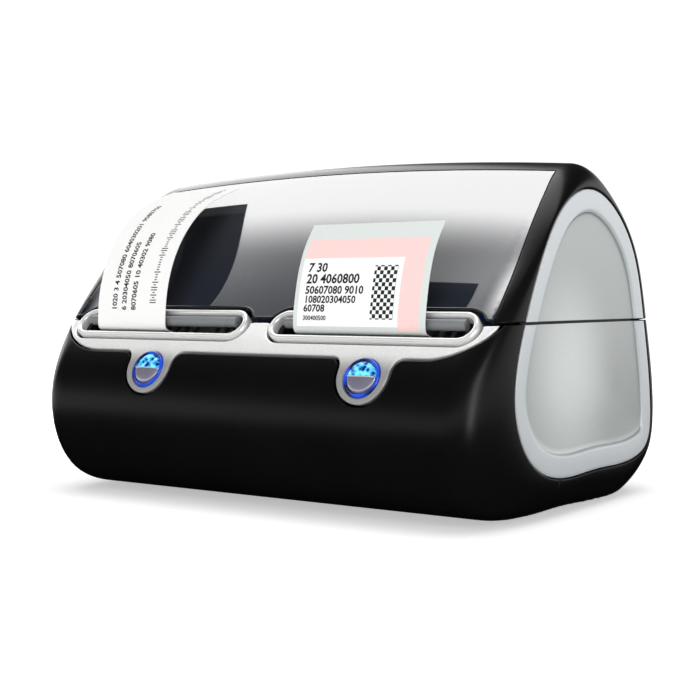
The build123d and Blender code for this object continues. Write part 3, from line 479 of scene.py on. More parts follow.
LID_KNUCKLES = [(-62.15, -51.85), (51.85, 62.15)]
CASE_KNUCKLES = [(-72.45, -62.15), (62.15, 72.45)]
rear_seam = back_seam(SEAM_LOW, LID_KNUCKLES, 67.2)
rear_split = floor_split(SPLIT_Y + 0.1, 52.3)[::-1]
rear_loop = np.concatenate([
    rear_seam, end_edge(1, rear_seam[-1, 1], rear_split[0, 1]),
    rear_split, end_edge(-1, rear_split[-1, 1], rear_seam[0, 1])])
rear_loops = [rear_loop]
SOCKET_GAP = 0.35
for node in ("usb_socket", "power_socket"):
    low, high = (v * 1000 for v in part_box(node))
    frame_line = [(low.x, low.z), (high.x, low.z), (high.x, high.z), (low.x, high.z), (low.x, low.z)]
    centre = np.array([(low.x + high.x) / 2, (low.z + high.z) / 2])
    grown = [np.array(p) + SOCKET_GAP * np.sign(np.array(p) - centre) for p in frame_line]
    rear_loops.append(turned_clockwise(back_trace(fine_line(grown, 0.7))))
rear_cover = moulded("rear_cover_shell", rear_loops, case_black)
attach(rear_cover, "case")
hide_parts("rear_cover")

# ---------------------------------------------------------------- lid frame
# Black ABS frame of the lid: rounded ends, the crest and the back, glued round the smoked window.
LID_LOW = SEAM + 0.25
WINDOW_BACK = -3.0
WINDOW_SIDE = ((50.0, 100.0), (84.0, 98.6), (118.0, 96.5), (136.0, 94.0))     # height, half width


def top_trace(points):
    """Outline given in the view from above, as skin coordinates."""
    points = np.asarray(points, float)
    b = girth_where(points[:, 0], points[:, 1], (1.0, 0.0), GIRTH + STATION_AT[3], GIRTH + STATION_AT[6])
    return np.column_stack([sideways(points[:, 0]), b])


def window_side(low_z, back_y, grow):
    """Right-hand edge of the window, from the height low_z up to the depth back_y."""
    heights, halves = zip(*WINDOW_SIDE)
    b_low = front_trace([(99.0, low_z)])[0, 1]
    b_high = top_trace([(95.0, back_y)])[0, 1]
    b = np.linspace(b_low, b_high, 90)
    x = np.full(len(b), 97.0)
    for _ in range(4):
        x = np.interp(skin(sideways(x), b)[:, 2], heights, halves) + grow
    return np.column_stack([sideways(x), b])


def mirrored(line):
    """The same line on the other side, running the other way."""
    return (line * np.array([-1.0, 1.0]))[::-1]


frame_side = window_side(LID_LOW, WINDOW_BACK + 0.2, 0.2)
corner_x = float(width_of(frame_side[-1, 0]))
frame_back = top_trace(fine_line([(corner_x, WINDOW_BACK + 0.2), (-corner_x, WINDOW_BACK + 0.2)], 1.2))[1:]
right_foot = front_trace([(x, LID_LOW) for x in width_of(np.linspace(frame_side[0, 0], REACH, 14))])
lid_seam = back_seam(LID_LOW, CASE_KNUCKLES, 74.4)[::-1]
lid_seam[:, 1] += GIRTH
frame_loop = np.concatenate([
    right_foot, end_edge(1, right_foot[-1, 1], lid_seam[0, 1]),
    lid_seam, end_edge(-1, lid_seam[-1, 1], right_foot[-1, 1]),
    mirrored(right_foot), mirrored(frame_side)[::-1][1:-1], frame_back[::-1], frame_side[::-1][:-1]])
lid_frame = moulded("lid_frame_shell", [frame_loop], case_black, lip=0.5)
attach(lid_frame, "lid")
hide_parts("lid_frame")

# ---------------------------------------------------------------- front bezel
# Satin silver-painted ABS band let into the front, with a rounded tongue under each lane for the
# button.  It clips in from outside, with a dark joint all round it.
def silver_paint(name, colour, roughness, metallic=0.55, flake=1400.0, specular=0.5, fade=None):
    """Sprayed silver: fine metal flake in the colour and in the gloss, under a thin clear coat.
    A fade (centre, axes, near, far, near tone, far tone) paints light and shade on it: the tone
    changes with the distance from a point."""
    material, shader, add, link = node_material(name)
    where = add("ShaderNodeTexCoord")
    flakes = add("ShaderNodeTexVoronoi", Scale=flake)
    link(where.outputs["Object"], flakes.inputs["Vector"])
    cloud = add("ShaderNodeTexNoise", Scale=22.0, Detail=3.0)
    link(where.outputs["Object"], cloud.inputs["Vector"])
    shade = add("ShaderNodeMapRange")
    shade.inputs["To Min"].default_value = 0.93
    shade.inputs["To Max"].default_value = 1.05
    link(flakes.outputs["Distance"], shade.inputs["Value"])
    drift = add("ShaderNodeMapRange")
    drift.inputs["To Min"].default_value = 0.97
    drift.inputs["To Max"].default_value = 1.03
    link(cloud.outputs["Fac"], drift.inputs["Value"])
    both = add("ShaderNodeMath", operation="MULTIPLY")
    link(shade.outputs["Result"], both.inputs[0])
    link(drift.outputs["Result"], both.inputs[1])
    # Painted light and shade: the colour is scaled from the near tone to the far tone with the distance from
    # the centre.
    if fade:
        centre, axes, near, far, near_tone, far_tone = fade
        away = add("ShaderNodeVectorMath", operation="SUBTRACT")
        link(where.outputs["Object"], away.inputs[0])
        away.inputs[1].default_value = centre
        chosen = add("ShaderNodeVectorMath", operation="MULTIPLY")
        link(away.outputs["Vector"], chosen.inputs[0])
        chosen.inputs[1].default_value = axes
        arm = add("ShaderNodeVectorMath", operation="LENGTH")
        link(chosen.outputs["Vector"], arm.inputs[0])
        spread = add("ShaderNodeMapRange", interpolation_type="SMOOTHSTEP")
        limits = {"From Min": near, "From Max": far, "To Min": near_tone, "To Max": far_tone}
        for socket, value in limits.items():
            spread.inputs[socket].default_value = value
        link(arm.outputs["Value"], spread.inputs["Value"])
        faded = add("ShaderNodeMath", operation="MULTIPLY")
        link(both.outputs["Value"], faded.inputs[0])
        link(spread.outputs["Result"], faded.inputs[1])
        both = faded
    tint = add("ShaderNodeVectorMath", operation="SCALE")
    tint.inputs[0].default_value = colour[:3]
    link(both.outputs["Value"], tint.inputs["Scale"])
    link(tint.outputs["Vector"], shader.inputs["Base Color"])
    gloss = add("ShaderNodeMapRange")
    gloss.inputs["To Min"].default_value = roughness * 0.88
    gloss.inputs["To Max"].default_value = roughness * 1.12
    link(flakes.outputs["Distance"], gloss.inputs["Value"])
    link(gloss.outputs["Result"], shader.inputs["Roughness"])
    shader.inputs["Metallic"].default_value = metallic
    shader.inputs["Specular IOR Level"].default_value = specular
    shader.inputs["Coat Weight"].default_value = 0.15
    shader.inputs["Coat Roughness"].default_value = 0.2
    return material


SLOT_Y, SLOT_Z, SLOT_TILT = -59.3, 69.3, math.radians(48)
RING_LENGTH, RING_HEIGHT = 89.0, 14.0
BUTTON_Y, BUTTON_Z, BUTTON_TILT = -72.4, 52.2, math.radians(66)
LIGHT_RING_R = 7.3


def tilted_trace(points, centre_y, centre_z, tilt):
    """Outline given on a tilted plane of the front as (x, up the slope), as skin coordinates."""
    points = np.asarray(points, float)
    look = (math.cos(tilt), math.sin(tilt))
    value = points[:, 1] + centre_y * look[0] + centre_z * look[1]
    b = girth_where(points[:, 0], value, look, BELLY, FRONT_TOP)
    return np.column_stack([sideways(points[:, 0]), b])


def stadium(x, radius, half, step=0.8):
    """Round-ended slot outline, anticlockwise from its right end."""
    count = int(math.pi * radius / step)
    ends = [arc(x + half, 0, radius, -90, 90, count), arc(x - half, 0, radius, 90, 270, count)]
    return fine_line(np.concatenate(ends + [ends[0][:1]]), step)


def under_seam(x, radius, half, limit):
    """The part of a slot outline that lies under a height, from left to right."""
    line = tilted_trace(stadium(x, radius, half), SLOT_Y, SLOT_Z, SLOT_TILT)
    below = skin(line[:, 0], line[:, 1])[:, 2] < limit
    start = int(np.flatnonzero(below & ~np.roll(below, 1))[0])
    return np.roll(line, -start, axis=0)[:int(below.sum())]


# Painted shade: the fade darkens the bezel from 60.7 mm down to 53.7 mm high, over the lower halves of the
# tongues, to 0.42 of its tone.
bezel_silver = silver_paint("bezel_silver", (0.86, 0.86, 0.85), 0.34, metallic=0.3,
                            fade=((0.0, 0.0, 0.0722), (0.0, 0.0, 1.0), 0.0115, 0.0185, 1.0, 0.42))
GROOVE_R, RING_HALF = RING_HEIGHT / 2 + 1.1, (RING_LENGTH - RING_HEIGHT) / 2
lower = front_trace(fine_line(bezel_edge(0.0), 0.8))
groove = {name: under_seam(x, GROOVE_R, RING_HALF, BEZEL_TOP) for name, x in LANES.items()}


def level_line(x_from, x_to, z):
    count = max(2, int(abs(x_to - x_from) / 0.9) + 1)
    return front_trace([(x, z) for x in np.linspace(x_from, x_to, count)])


def lane_ends(line):
    return float(width_of(line[0, 0])), float(width_of(line[-1, 0]))


left_from, left_to = lane_ends(groove["left"])
right_from, right_to = lane_ends(groove["right"])
bezel_loop = np.concatenate([
    lower, level_line(BEZEL_HALF, right_to, BEZEL_TOP)[:-1], groove["right"][::-1],
    level_line(right_from, left_to, BEZEL_TOP)[1:-1], groove["left"][::-1],
    level_line(left_from, -BEZEL_HALF, BEZEL_TOP)[1:-1]])
bezel_loops = [bezel_loop]
for x in LANES.values():
    ring = arc(x + TONGUE_SHIFT, 0, LIGHT_RING_R + 0.25, 360, 0, 64)[:-1]
    bezel_loops.append(turned_clockwise(tilted_trace(ring, BUTTON_Y, BUTTON_Z, BUTTON_TILT)))
front_bezel = moulded("front_bezel_shell", bezel_loops, bezel_silver, lip=0.6, step=1.3)
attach(front_bezel, "case")
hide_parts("front_bezel")

# ---------------------------------------------------------------- slot rings
# A raised stadium ring round each label slot: satin chrome-look moulding with a full round top,
# pressed into the groove of the bezel.
RING_WALL, RING_DEEP, RING_PROUD = 2.2, 2.6, 1.4


def slot_place(x, points):
    """Points (along, up, out) on the slot plane of the lane at x, in mm."""
    points = np.asarray(points, float)
    y = SLOT_Y + points[:, 1] * math.cos(SLOT_TILT) - points[:, 2] * math.sin(SLOT_TILT)
    z = SLOT_Z + points[:, 1] * math.sin(SLOT_TILT) + points[:, 2] * math.cos(SLOT_TILT)
    return np.column_stack([x + points[:, 0], y, z])


def ring_section(wall, deep, proud, turns=10):
    """Cross-section of a ring, (outwards from its middle line, out of the slot plane)."""
    half = wall / 2
    top = [(half * math.cos(t), proud - half + half * math.sin(t)) for t in np.linspace(0, math.pi, turns)]
    return [(half, -deep)] + top + [(-half, -deep)]


def swept_ring(name, path, outwards, section, place, material):
    """Closed ring: a section carried along a closed flat path."""
    n, m = len(path), len(section)
    verts = []
    for (px, py), (ox, oy) in zip(path, outwards):
        verts += [(px + s * ox, py + s * oy, t) for s, t in section]
    faces = []
    for i in range(n):
        j = (i + 1) % n
        faces += [(i * m + k, j * m + k, j * m + (k + 1) % m, i * m + (k + 1) % m) for k in range(m)]
    piece = mesh_object(name, place(np.array(verts)), faces, material)
    piece.data.set_sharp_from_angle(angle=math.radians(50))
    return piece


ring_silver = silver_paint("ring_silver", (0.90, 0.90, 0.89), 0.2, metallic=0.45)
for name, x in LANES.items():
    radius = RING_HEIGHT / 2 - RING_WALL / 2
    path = stadium(0.0, radius, RING_HALF, 0.7)
    core = np.clip(path[:, 0], -RING_HALF, RING_HALF)
    outwards = (path - np.column_stack([core, np.zeros(len(path))])) / radius
    section = ring_section(RING_WALL, RING_DEEP, RING_PROUD)
    ring = swept_ring(f"slot_ring_{name}_moulding", path, outwards, section,
                      lambda points, x=x: slot_place(x, points), ring_silver)
    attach(ring, "case")
    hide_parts(f"slot_ring_{name}")

# ---------------------------------------------------------------- lid window
# Smoked clear polycarbonate, glued into the lid frame.  A black bead runs along its lower edge,
# over the two rings and down between them.
def smoked_glass():
    material, shader, add, link = node_material("smoked_window")
    where = add("ShaderNodeTexCoord")
    split = add("ShaderNodeSeparateXYZ")
    link(where.outputs["Object"], split.inputs[0])
    # Painted light: the base colour lightens from 72 mm to 128 mm high, along with the light card's mirrored
    # gradient.
    height = add("ShaderNodeMapRange", interpolation_type="SMOOTHSTEP")
    height.inputs["From Min"].default_value = 0.072
    height.inputs["From Max"].default_value = 0.128
    height.inputs["To Min"].default_value = 0.0
    height.inputs["To Max"].default_value = 1.0
    link(split.outputs["Z"], height.inputs["Value"])
    tint = add("ShaderNodeMix", data_type="RGBA")
    tint.inputs["A"].default_value = (0.022, 0.027, 0.040, 1)
    tint.inputs["B"].default_value = (0.050, 0.052, 0.060, 1)
    link(height.outputs["Result"], tint.inputs["Factor"])
    wipe = add("ShaderNodeTexNoise", Scale=14.0, Detail=5.0)
    link(where.outputs["Object"], wipe.inputs["Vector"])
    haze = add("ShaderNodeMapRange")
    haze.inputs["To Min"].default_value = 0.03
    haze.inputs["To Max"].default_value = 0.075
    link(wipe.outputs["Fac"], haze.inputs["Value"])
    link(haze.outputs["Result"], shader.inputs["Roughness"])
    link(tint.outputs["Result"], shader.inputs["Base Color"])
    shader.inputs["IOR"].default_value = 3.2
    shader.inputs["Alpha"].default_value = 0.86
    return material


window_glass = smoked_glass()
WINDOW_LOW, BEAD_R, BEAD_GAP = 72.4, 0.55, 2.2
window_edge = window_side(WINDOW_LOW, WINDOW_BACK, 0.0)
window_corner = float(width_of(window_edge[-1, 0]))
window_back = top_trace(fine_line([(window_corner, WINDOW_BACK), (-window_corner, WINDOW_BACK)], 1.2))[1:]


def over_ring(x, radius, half, limit):
    """The part of a slot outline that lies above a height, from right to left."""
    line = tilted_trace(stadium(x, radius, half), SLOT_Y, SLOT_Z, SLOT_TILT)
    above = skin(line[:, 0], line[:, 1])[:, 2] > limit
    start = int(np.flatnonzero(above & ~np.roll(above, 1))[0])
    return np.roll(line, -start, axis=0)[:int(above.sum())]


arch = {name: over_ring(x, RING_HEIGHT / 2 + BEAD_GAP, RING_HALF, WINDOW_LOW)[::-1]
        for name, x in LANES.items()}
ends = {name: lane_ends(line) for name, line in arch.items()}
window_right = float(width_of(window_edge[0, 0]))
window_foot = np.concatenate([
    level_line(-window_right, ends["left"][0], WINDOW_LOW)[:-1], arch["left"],
    level_line(ends["left"][1], ends["right"][0], WINDOW_LOW)[1:-1], arch["right"],
    level_line(ends["right"][1], window_right, WINDOW_LOW)[1:]])
window_loop = np.concatenate([window_foot, window_edge[1:], window_back, mirrored(window_edge)[:-1]])
lid_window = moulded("lid_window_pane", [window_loop], window_glass, lip=0.3, step=2.0)
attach(lid_window, "lid")
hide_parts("lid_window")


def tube(name, path, radius, material, sides=10):
    """Round bar along an open line of points in mm, closed at both ends."""
    path = np.asarray(path, float)
    along = np.gradient(path, axis=0)
    along /= np.linalg.norm(along, axis=1)[:, None]
    first = np.cross(along, (0.31, -0.77, 0.55))
    first /= np.linalg.norm(first, axis=1)[:, None]
    second = np.cross(along, first)
    turn = np.linspace(0, 2 * math.pi, sides, endpoint=False)
    rings = (path[:, None] + radius * (np.cos(turn)[None, :, None] * first[:, None]
                                       + np.sin(turn)[None, :, None] * second[:, None]))
    faces = []
    for i in range(len(path) - 1):
        for k in range(sides):
            j = (k + 1) % sides
            faces.append((i * sides + k, i * sides + j, (i + 1) * sides + j, (i + 1) * sides + k))
    last = (len(path) - 1) * sides
    faces += [tuple(range(sides))[::-1], tuple(range(last, last + sides))]
    return mesh_object(name, rings.reshape(-1, 3), faces, material)


bead_black = plastic("bead_black", (0.006, 0.006, 0.007), 0.18, grain=500.0)
foot_point, _, _, foot_normal = skin_frame(window_foot[:, 0], window_foot[:, 1])
bead = tube("window_bead", foot_point - foot_normal * (BEAD_R * 0.4), BEAD_R, bead_black)
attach(bead, "lid")

# ---------------------------------------------------------------- end walls
# Black ABS walls behind the silver panels, moulded with the case and with the lid.  The wall of the
# case carries a tongue inside the wall of the lid, so that the seam stays dark.
def end_outline(inset):
    """Radius of the end face outline, drawn in by an inset, at even angles round its middle."""
    edge = skin(np.full(900, REACH), np.linspace(0, GIRTH, 900, endpoint=False))[:, 1:]
    way = np.roll(edge, -1, axis=0) - np.roll(edge, 1, axis=0)
    way /= np.linalg.norm(way, axis=1)[:, None]
    inner = edge + inset * np.column_stack([-way[:, 1], way[:, 0]]) * END_SENSE
    clear = np.array([np.linalg.norm(edge - p, axis=1).min() for p in inner]) > inset - 0.02
    arm = inner[clear] - END_MIDDLE
    turn = np.arctan2(arm[:, 1], arm[:, 0])
    order = np.argsort(turn)
    angle = np.linspace(-math.pi, math.pi, END_SIDES, endpoint=False)
    return angle, np.interp(angle, turn[order], np.linalg.norm(arm, axis=1)[order], period=2 * math.pi)


END_MIDDLE, END_SIDES = np.array([6.0, 62.0]), 240
edge_turn = skin(np.full(3, REACH), np.array([0.0, 30.0, 60.0]))[:, 1:] - END_MIDDLE
END_SENSE = 1.0 if edge_turn[0, 0] * edge_turn[1, 1] - edge_turn[0, 1] * edge_turn[1, 0] > 0 else -1.0


def cut_flat(mesh, place, away):
    """Cut a closed mesh on a plane, drop the side it faces and close the cut."""
    everything = mesh.verts[:] + mesh.edges[:] + mesh.faces[:]
    cut = bmesh.ops.bisect_plane(mesh, geom=everything, plane_co=place, plane_no=away, clear_outer=True)
    rim = [item for item in cut["geom_cut"] if isinstance(item, bmesh.types.BMEdge)]
    if rim:
        bmesh.ops.contextual_create(mesh, geom=rim)


def end_disc(name, sign, rows, material, z_low, z_high):
    """Closed disc in the shape of the end face, from rows of (inset, depth, scale), cut to a
    height range.  Rows run from the back edge over the outer face to its middle."""
    verts, faces, count = [(sign * (HALF - rows[0][1]), *END_MIDDLE)], [], END_SIDES
    for inset, depth, scale in rows:
        angle, radius = end_outline(inset)
        y = END_MIDDLE[0] + radius * scale * np.cos(angle)
        z = END_MIDDLE[1] + radius * scale * np.sin(angle)
        verts += zip(np.full(count, sign * (HALF - depth)), y, z)
    verts.append((sign * (HALF - rows[-1][1]), *END_MIDDLE))
    last = len(verts) - 1
    for k in range(count):
        j = (k + 1) % count
        faces.append((0, 1 + k, 1 + j))
        for r in range(len(rows) - 1):
            start = 1 + r * count
            faces.append((start + k, start + count + k, start + count + j, start + j))
        faces.append((last - count + k, last, last - count + j))
    mesh = bmesh.new()
    made = [mesh.verts.new(tuple(v * 0.001 for v in point)) for point in verts]
    for face in faces:
        mesh.faces.new([made[v] for v in face])
    for height, side in ((z_low, -1), (z_high, 1)):
        cut_flat(mesh, (0, 0, height * 0.001), (0, 0, side))
    bmesh.ops.recalc_face_normals(mesh, faces=mesh.faces[:])
    data = bpy.data.meshes.new(name)
    mesh.to_mesh(data)
    mesh.free()
    data.materials.append(material)
    data.polygons.foreach_set("use_smooth", [True] * len(data.polygons))
    data.set_sharp_from_angle(angle=math.radians(40))
    piece = bpy.data.objects.new(name, data)
    bpy.context.scene.collection.objects.link(piece)
    return piece


ENDS = (("left", -1), ("right", 1))
TONGUE_LOW, TONGUE_HIGH, OVER_ALL = 60.0, 74.0, 200.0
wall_rows = {"case": [(0.3, 4.3, 1.0), (0.3, 2.5, 1.0)], "tongue": [(4.0, 5.4, 1.0), (4.0, 4.4, 1.0)],
             "lid": [(0.3, 4.2, 1.0), (0.3, 2.5, 1.0)]}      # inset, depth and scale, back to front
for side, sign in ENDS:
    wall = end_disc(f"case_end_wall_{side}", sign, wall_rows["case"], case_black, 0.0, SEAM_LOW)
    tongue = end_disc(f"case_end_tongue_{side}", sign, wall_rows["tongue"], case_black,
                      TONGUE_LOW, TONGUE_HIGH)
    cap = end_disc(f"lid_end_wall_{side}", sign, wall_rows["lid"], case_black, LID_LOW, OVER_ALL)
    for piece in (wall, tongue):
        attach(piece, "case")
    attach(cap, "lid")

# ---------------------------------------------------------------- hinge knuckles
# Moulded eyes on the back edge of the case and of the lid, bored for the steel hinge pins.
HINGE_Y, HINGE_Z, EYE_R, EYE_BORE = 68.6, 70.8, 3.2, 1.6


def turned_ring(name, section, y, z, material, sides=48):
    """Ring turned round a shaft along X, from a closed section of (x, radius)."""
    n, turn = len(section), np.linspace(0, 2 * math.pi, sides, endpoint=False)
    verts = [(x, y + r * math.cos(t), z + r * math.sin(t)) for t in turn for x, r in section]
    faces = []
    for i in range(sides):
        j = (i + 1) % sides
        faces += [(i * n + k, i * n + (k + 1) % n, j * n + (k + 1) % n, j * n + k) for k in range(n)]
    piece = mesh_object(name, verts, faces, material)
    piece.data.set_sharp_from_angle(angle=math.radians(40))
    return piece


for side, sign in ENDS:
    for body, x_from, x_to in (("lid", 52.0, 62.0), ("case", 62.3, 72.3)):
        low, high = sorted((sign * x_from, sign * x_to))
        eye = turned_ring(f"{body}_knuckle_{side}", [
            (low, EYE_BORE), (low, EYE_R - 0.4), (low + 0.4, EYE_R), (high - 0.4, EYE_R),
            (high, EYE_R - 0.4), (high, EYE_BORE)][::-1], HINGE_Y, HINGE_Z, case_black)
        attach(eye, body)

# ---------------------------------------------------------------- end panels
# Silver-painted ABS panels clipped into the ends, one below and one above the seam: a flat rim, a
# soft step and a shallow dish.
panel_silver = silver_paint("panel_silver", (0.60, 0.63, 0.65), 0.42, metallic=0.45, flake=1800.0)
# Painted highlight and painted shade: the dish silver is 1.28 times as bright round a point at y -8 mm, z 50
# mm, dimming to 0.76 further away.
dish_silver_painted_sheen = silver_paint("dish_silver_painted_sheen", (0.57, 0.60, 0.595), 0.34, metallic=0.6, flake=1800.0,
                           fade=((0.0, -0.008, 0.050), (0.0, 1.0, 1.0), 0.004, 0.046, 1.28, 0.76))


def two_tone(piece):
    """Give the dished middle of a panel the darker silver, which carries a painted highlight fading to
    painted shade.
    """
    piece.data.materials.append(dish_silver_painted_sheen)
    for face in piece.data.polygons:
        depth = HALF - abs(face.center.x) * 1000
        face.material_index = int(0.6 < depth < 2.2 and abs(face.normal.x) > 0.5)


panel_rows = [(0.5, 2.4, 1.0), (0.5, 0.5, 1.0), (0.62, 0.2, 1.0), (0.95, 0.05, 1.0), (1.6, 0.03, 1.0),
              (7.6, 0.1, 1.0), (8.1, 0.16, 1.0), (8.5, 0.36, 1.0), (8.9, 0.75, 1.0), (9.2, 1.0, 1.0),
              (9.2, 1.14, 0.985), (9.2, 1.24, 0.95), (9.2, 1.42, 0.8), (9.2, 1.62, 0.6), (9.2, 1.78, 0.4),
              (9.2, 1.87, 0.2)]
for side, sign in ENDS:
    lower_panel = end_disc(f"case_panel_{side}_skin", sign, panel_rows, panel_silver, 0.0, SEAM_LOW - 0.35)
    two_tone(lower_panel)
    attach(lower_panel, "case")
    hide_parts(f"case_panel_{side}")
    upper_panel = end_disc(f"lid_panel_{side}_skin", sign, panel_rows, panel_silver, LID_LOW + 0.25, OVER_ALL)
    two_tone(upper_panel)
    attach(upper_panel, "lid")
    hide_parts(f"lid_panel_{side}")

# ---------------------------------------------------------------- label strips
# Paper labels on their liner, hanging out of the slots in a free curve.  The printing is thermal
# black: rows of digits, code bars and a chequered block.  The back of the liner is painted near
# black as painted shade, where a real liner is pale.
STRIP_EDGE = -32.7          # left edge of every strip, from the middle of its lane
PAPER_HALF, INK_LIFT = 0.12, 0.03
STRIP_WIDTH = {"left": 37.0, "right": 57.0}
STRIP_LEAD = ((0.0, -7.5), (-0.9, -3.6), (-2.1, -0.8))      # up and out of the slot, inside the ring
STRIP_ROUTE = {
    "left": ((-60.9, 71.5), (-60.3, 79.0), (-56.8, 92.0), (-49.0, 105.2), (-37.5, 115.8), (-15.0, 125.5)),
    "right": ((-61.1, 71.0), (-60.5, 76.5), (-57.2, 90.5), (-53.3, 99.0), (-47.5, 107.0))}


def open_spline(points, step=0.5):
    """Natural cubic spline through points, sampled evenly; distances are counted from its fourth
    point, where the strip leaves the ring."""
    points = np.array(points, float)
    knots = np.r_[0.0, np.cumsum(np.linalg.norm(np.diff(points, axis=0), axis=1))]
    n, h = len(points), np.diff(knots)
    system, right = np.eye(n), np.zeros((n, 2))
    for i in range(1, n - 1):
        system[i, i - 1:i + 2] = h[i - 1], 2 * (h[i - 1] + h[i]), h[i]
        right[i] = 6 * ((points[i + 1] - points[i]) / h[i] - (points[i] - points[i - 1]) / h[i - 1])
    bend = np.linalg.solve(system, right)
    t = np.arange(0, knots[-1] + step / 2, step).clip(max=knots[-1])
    i = np.clip(np.searchsorted(knots, t, side="right") - 1, 0, n - 2)
    u, v = (knots[i + 1] - t)[:, None], (t - knots[i])[:, None]
    w = h[i][:, None]
    line = (bend[i] * u**3 + bend[i + 1] * v**3) / (6 * w)
    line += (points[i] / w - bend[i] * w / 6) * u + (points[i + 1] / w - bend[i + 1] * w / 6) * v
    return t - knots[3], line


def strip_point(route, s, lift):
    """Point (y, z) at distance s along a strip, lifted off its middle towards the printed face."""
    distance, line = route
    way = np.gradient(line, distance, axis=0)
    way /= np.linalg.norm(way, axis=1)[:, None]
    s = np.asarray(s, float)
    middle = np.column_stack([np.interp(s, distance, line[:, k]) for k in (0, 1)])
    face = np.column_stack([np.interp(s, distance, -way[:, 1]), np.interp(s, distance, way[:, 0])])
    return middle + face * np.asarray(lift)[..., None]


def between(add, link, value, low, high):
    """1 where the value lies between two limits, otherwise 0."""
    above = add("ShaderNodeMath", operation="GREATER_THAN")
    link(value, above.inputs[0])
    above.inputs[1].default_value = low
    below = add("ShaderNodeMath", operation="LESS_THAN")
    link(value, below.inputs[0])
    below.inputs[1].default_value = high
    both = add("ShaderNodeMath", operation="MULTIPLY")
    link(above.outputs[0], both.inputs[0])
    link(below.outputs[0], both.inputs[1])
    return both.outputs[0]


def label_paper(name, liner, patches):
    """Label stock: the liner's colour, then patches (across, along, colour, squares per mm or 0)."""
    material, shader, add, link = node_material(name)
    where = add("ShaderNodeUVMap", uv_map="strip")
    split = add("ShaderNodeSeparateXYZ")
    link(where.outputs[0], split.inputs[0])
    fibre = add("ShaderNodeTexNoise", Scale=0.9, Detail=6.0)
    link(where.outputs[0], fibre.inputs["Vector"])
    tone = add("ShaderNodeMapRange")
    tone.inputs["To Min"].default_value = 0.965
    tone.inputs["To Max"].default_value = 1.02
    link(fibre.outputs["Fac"], tone.inputs["Value"])
    colour = add("ShaderNodeRGB")
    colour.outputs[0].default_value = (*liner, 1)
    colour = colour.outputs[0]
    for across, along, patch, chequer in patches:
        wide = between(add, link, split.outputs["X"], *across)
        tall = between(add, link, split.outputs["Y"], *along)
        mask = add("ShaderNodeMath", operation="MULTIPLY")
        link(wide, mask.inputs[0])
        link(tall, mask.inputs[1])
        mask = mask.outputs[0]
        if chequer:
            squares = add("ShaderNodeTexChecker", Scale=chequer)
            squares.inputs["Color1"].default_value = (1, 1, 1, 1)
            squares.inputs["Color2"].default_value = (0, 0, 0, 1)
            link(where.outputs[0], squares.inputs["Vector"])
            part = add("ShaderNodeMath", operation="MULTIPLY")
            link(mask, part.inputs[0])
            link(squares.outputs["Fac"], part.inputs[1])
            mask = part.outputs[0]
        layer = add("ShaderNodeMix", data_type="RGBA")
        link(mask, layer.inputs["Factor"])
        link(colour, layer.inputs[6])
        layer.inputs[7].default_value = (*patch, 1)
        colour = layer.outputs[2]
    tint = add("ShaderNodeVectorMath", operation="SCALE")
    link(colour, tint.inputs[0])
    link(tone.outputs["Result"], tint.inputs["Scale"])
    link(tint.outputs["Vector"], shader.inputs["Base Color"])
    gloss = add("ShaderNodeMapRange")
    gloss.inputs["To Min"].default_value = 0.5
    gloss.inputs["To Max"].default_value = 0.7
    link(fibre.outputs["Fac"], gloss.inputs["Value"])
    link(gloss.outputs["Result"], shader.inputs["Roughness"])
    shader.inputs["Specular IOR Level"].default_value = 0.25
    return material


INK, PINK = (0.012, 0.012, 0.014), (0.85, 0.60, 0.58)
print_ink = plastic("print_ink", INK, 0.6, variation=0.2, specular=0.2)
# Painted shade: the back of the liner is near black, so that the strips' undersides mirror dark in the
# window.
liner_back_painted_shade = plastic("liner_back_painted_shade", (0.010, 0.010, 0.011), 0.75, variation=0.1, specular=0.1)
paper = {
    "left": label_paper("label_paper_left", (0.83, 0.83, 0.82), []),
    "right": label_paper("label_paper_right", (0.64, 0.68, 0.66), [
        ((1.8, 54.2), (-1.4, 31.8), (0.86, 0.86, 0.86), 0),
        ((1.8, 54.2), (23.8, 31.8), PINK, 0),
        ((45.6, 54.2), (-3.0, 31.8), PINK, 0),
        ((33.8, 43.6), (1.0, 20.8), INK, 0.69)])}


def strip_sheet(name, route, x_start, width, material, back):
    """Bent sheet, printed face first.  Its UV map is mm across and mm along the strip."""
    s, c = route[0], np.linspace(0, width, 13)
    n, m = len(s), len(c)
    front = strip_point(route, s, np.full(n, PAPER_HALF))
    rear = strip_point(route, s, np.full(n, -PAPER_HALF))
    verts = [(x_start + x, *p) for side in (front, rear) for p in side for x in c]
    faces, flat = [], []
    for i in range(n - 1):
        for k in range(m - 1):
            a, b = i * m + k, (i + 1) * m + k
            faces.append((a, a + 1, b + 1, b))
            flat.append(((c[k], s[i]), (c[k + 1], s[i]), (c[k + 1], s[i + 1]), (c[k], s[i + 1])))
    printed = len(faces)
    for i in range(n - 1):
        for k in range(m - 1):
            a, b = n * m + i * m + k, n * m + (i + 1) * m + k
            faces.append((a, b, b + 1, a + 1))
    rim = [i * m for i in range(n - 1, 0, -1)] + list(range(m - 1)) \
        + [i * m + m - 1 for i in range(n - 1)] + [(n - 1) * m + k for k in range(m - 1, 0, -1)]
    for a, b in zip(rim, rim[1:] + rim[:1]):
        faces.append((b, a, a + n * m, b + n * m))
    sheet = mesh_object(name, verts, faces, material)
    sheet.data.materials.append(back)
    kinds = np.zeros(len(faces), int)
    kinds[printed:2 * printed] = 1
    sheet.data.polygons.foreach_set("material_index", kinds)
    layer = sheet.data.uv_layers.new(name="strip")
    spots = [p for quad in flat for p in quad]
    for i, spot in enumerate(spots):
        layer.data[i].uv = spot
    sheet.data.set_sharp_from_angle(angle=math.radians(40))
    return sheet


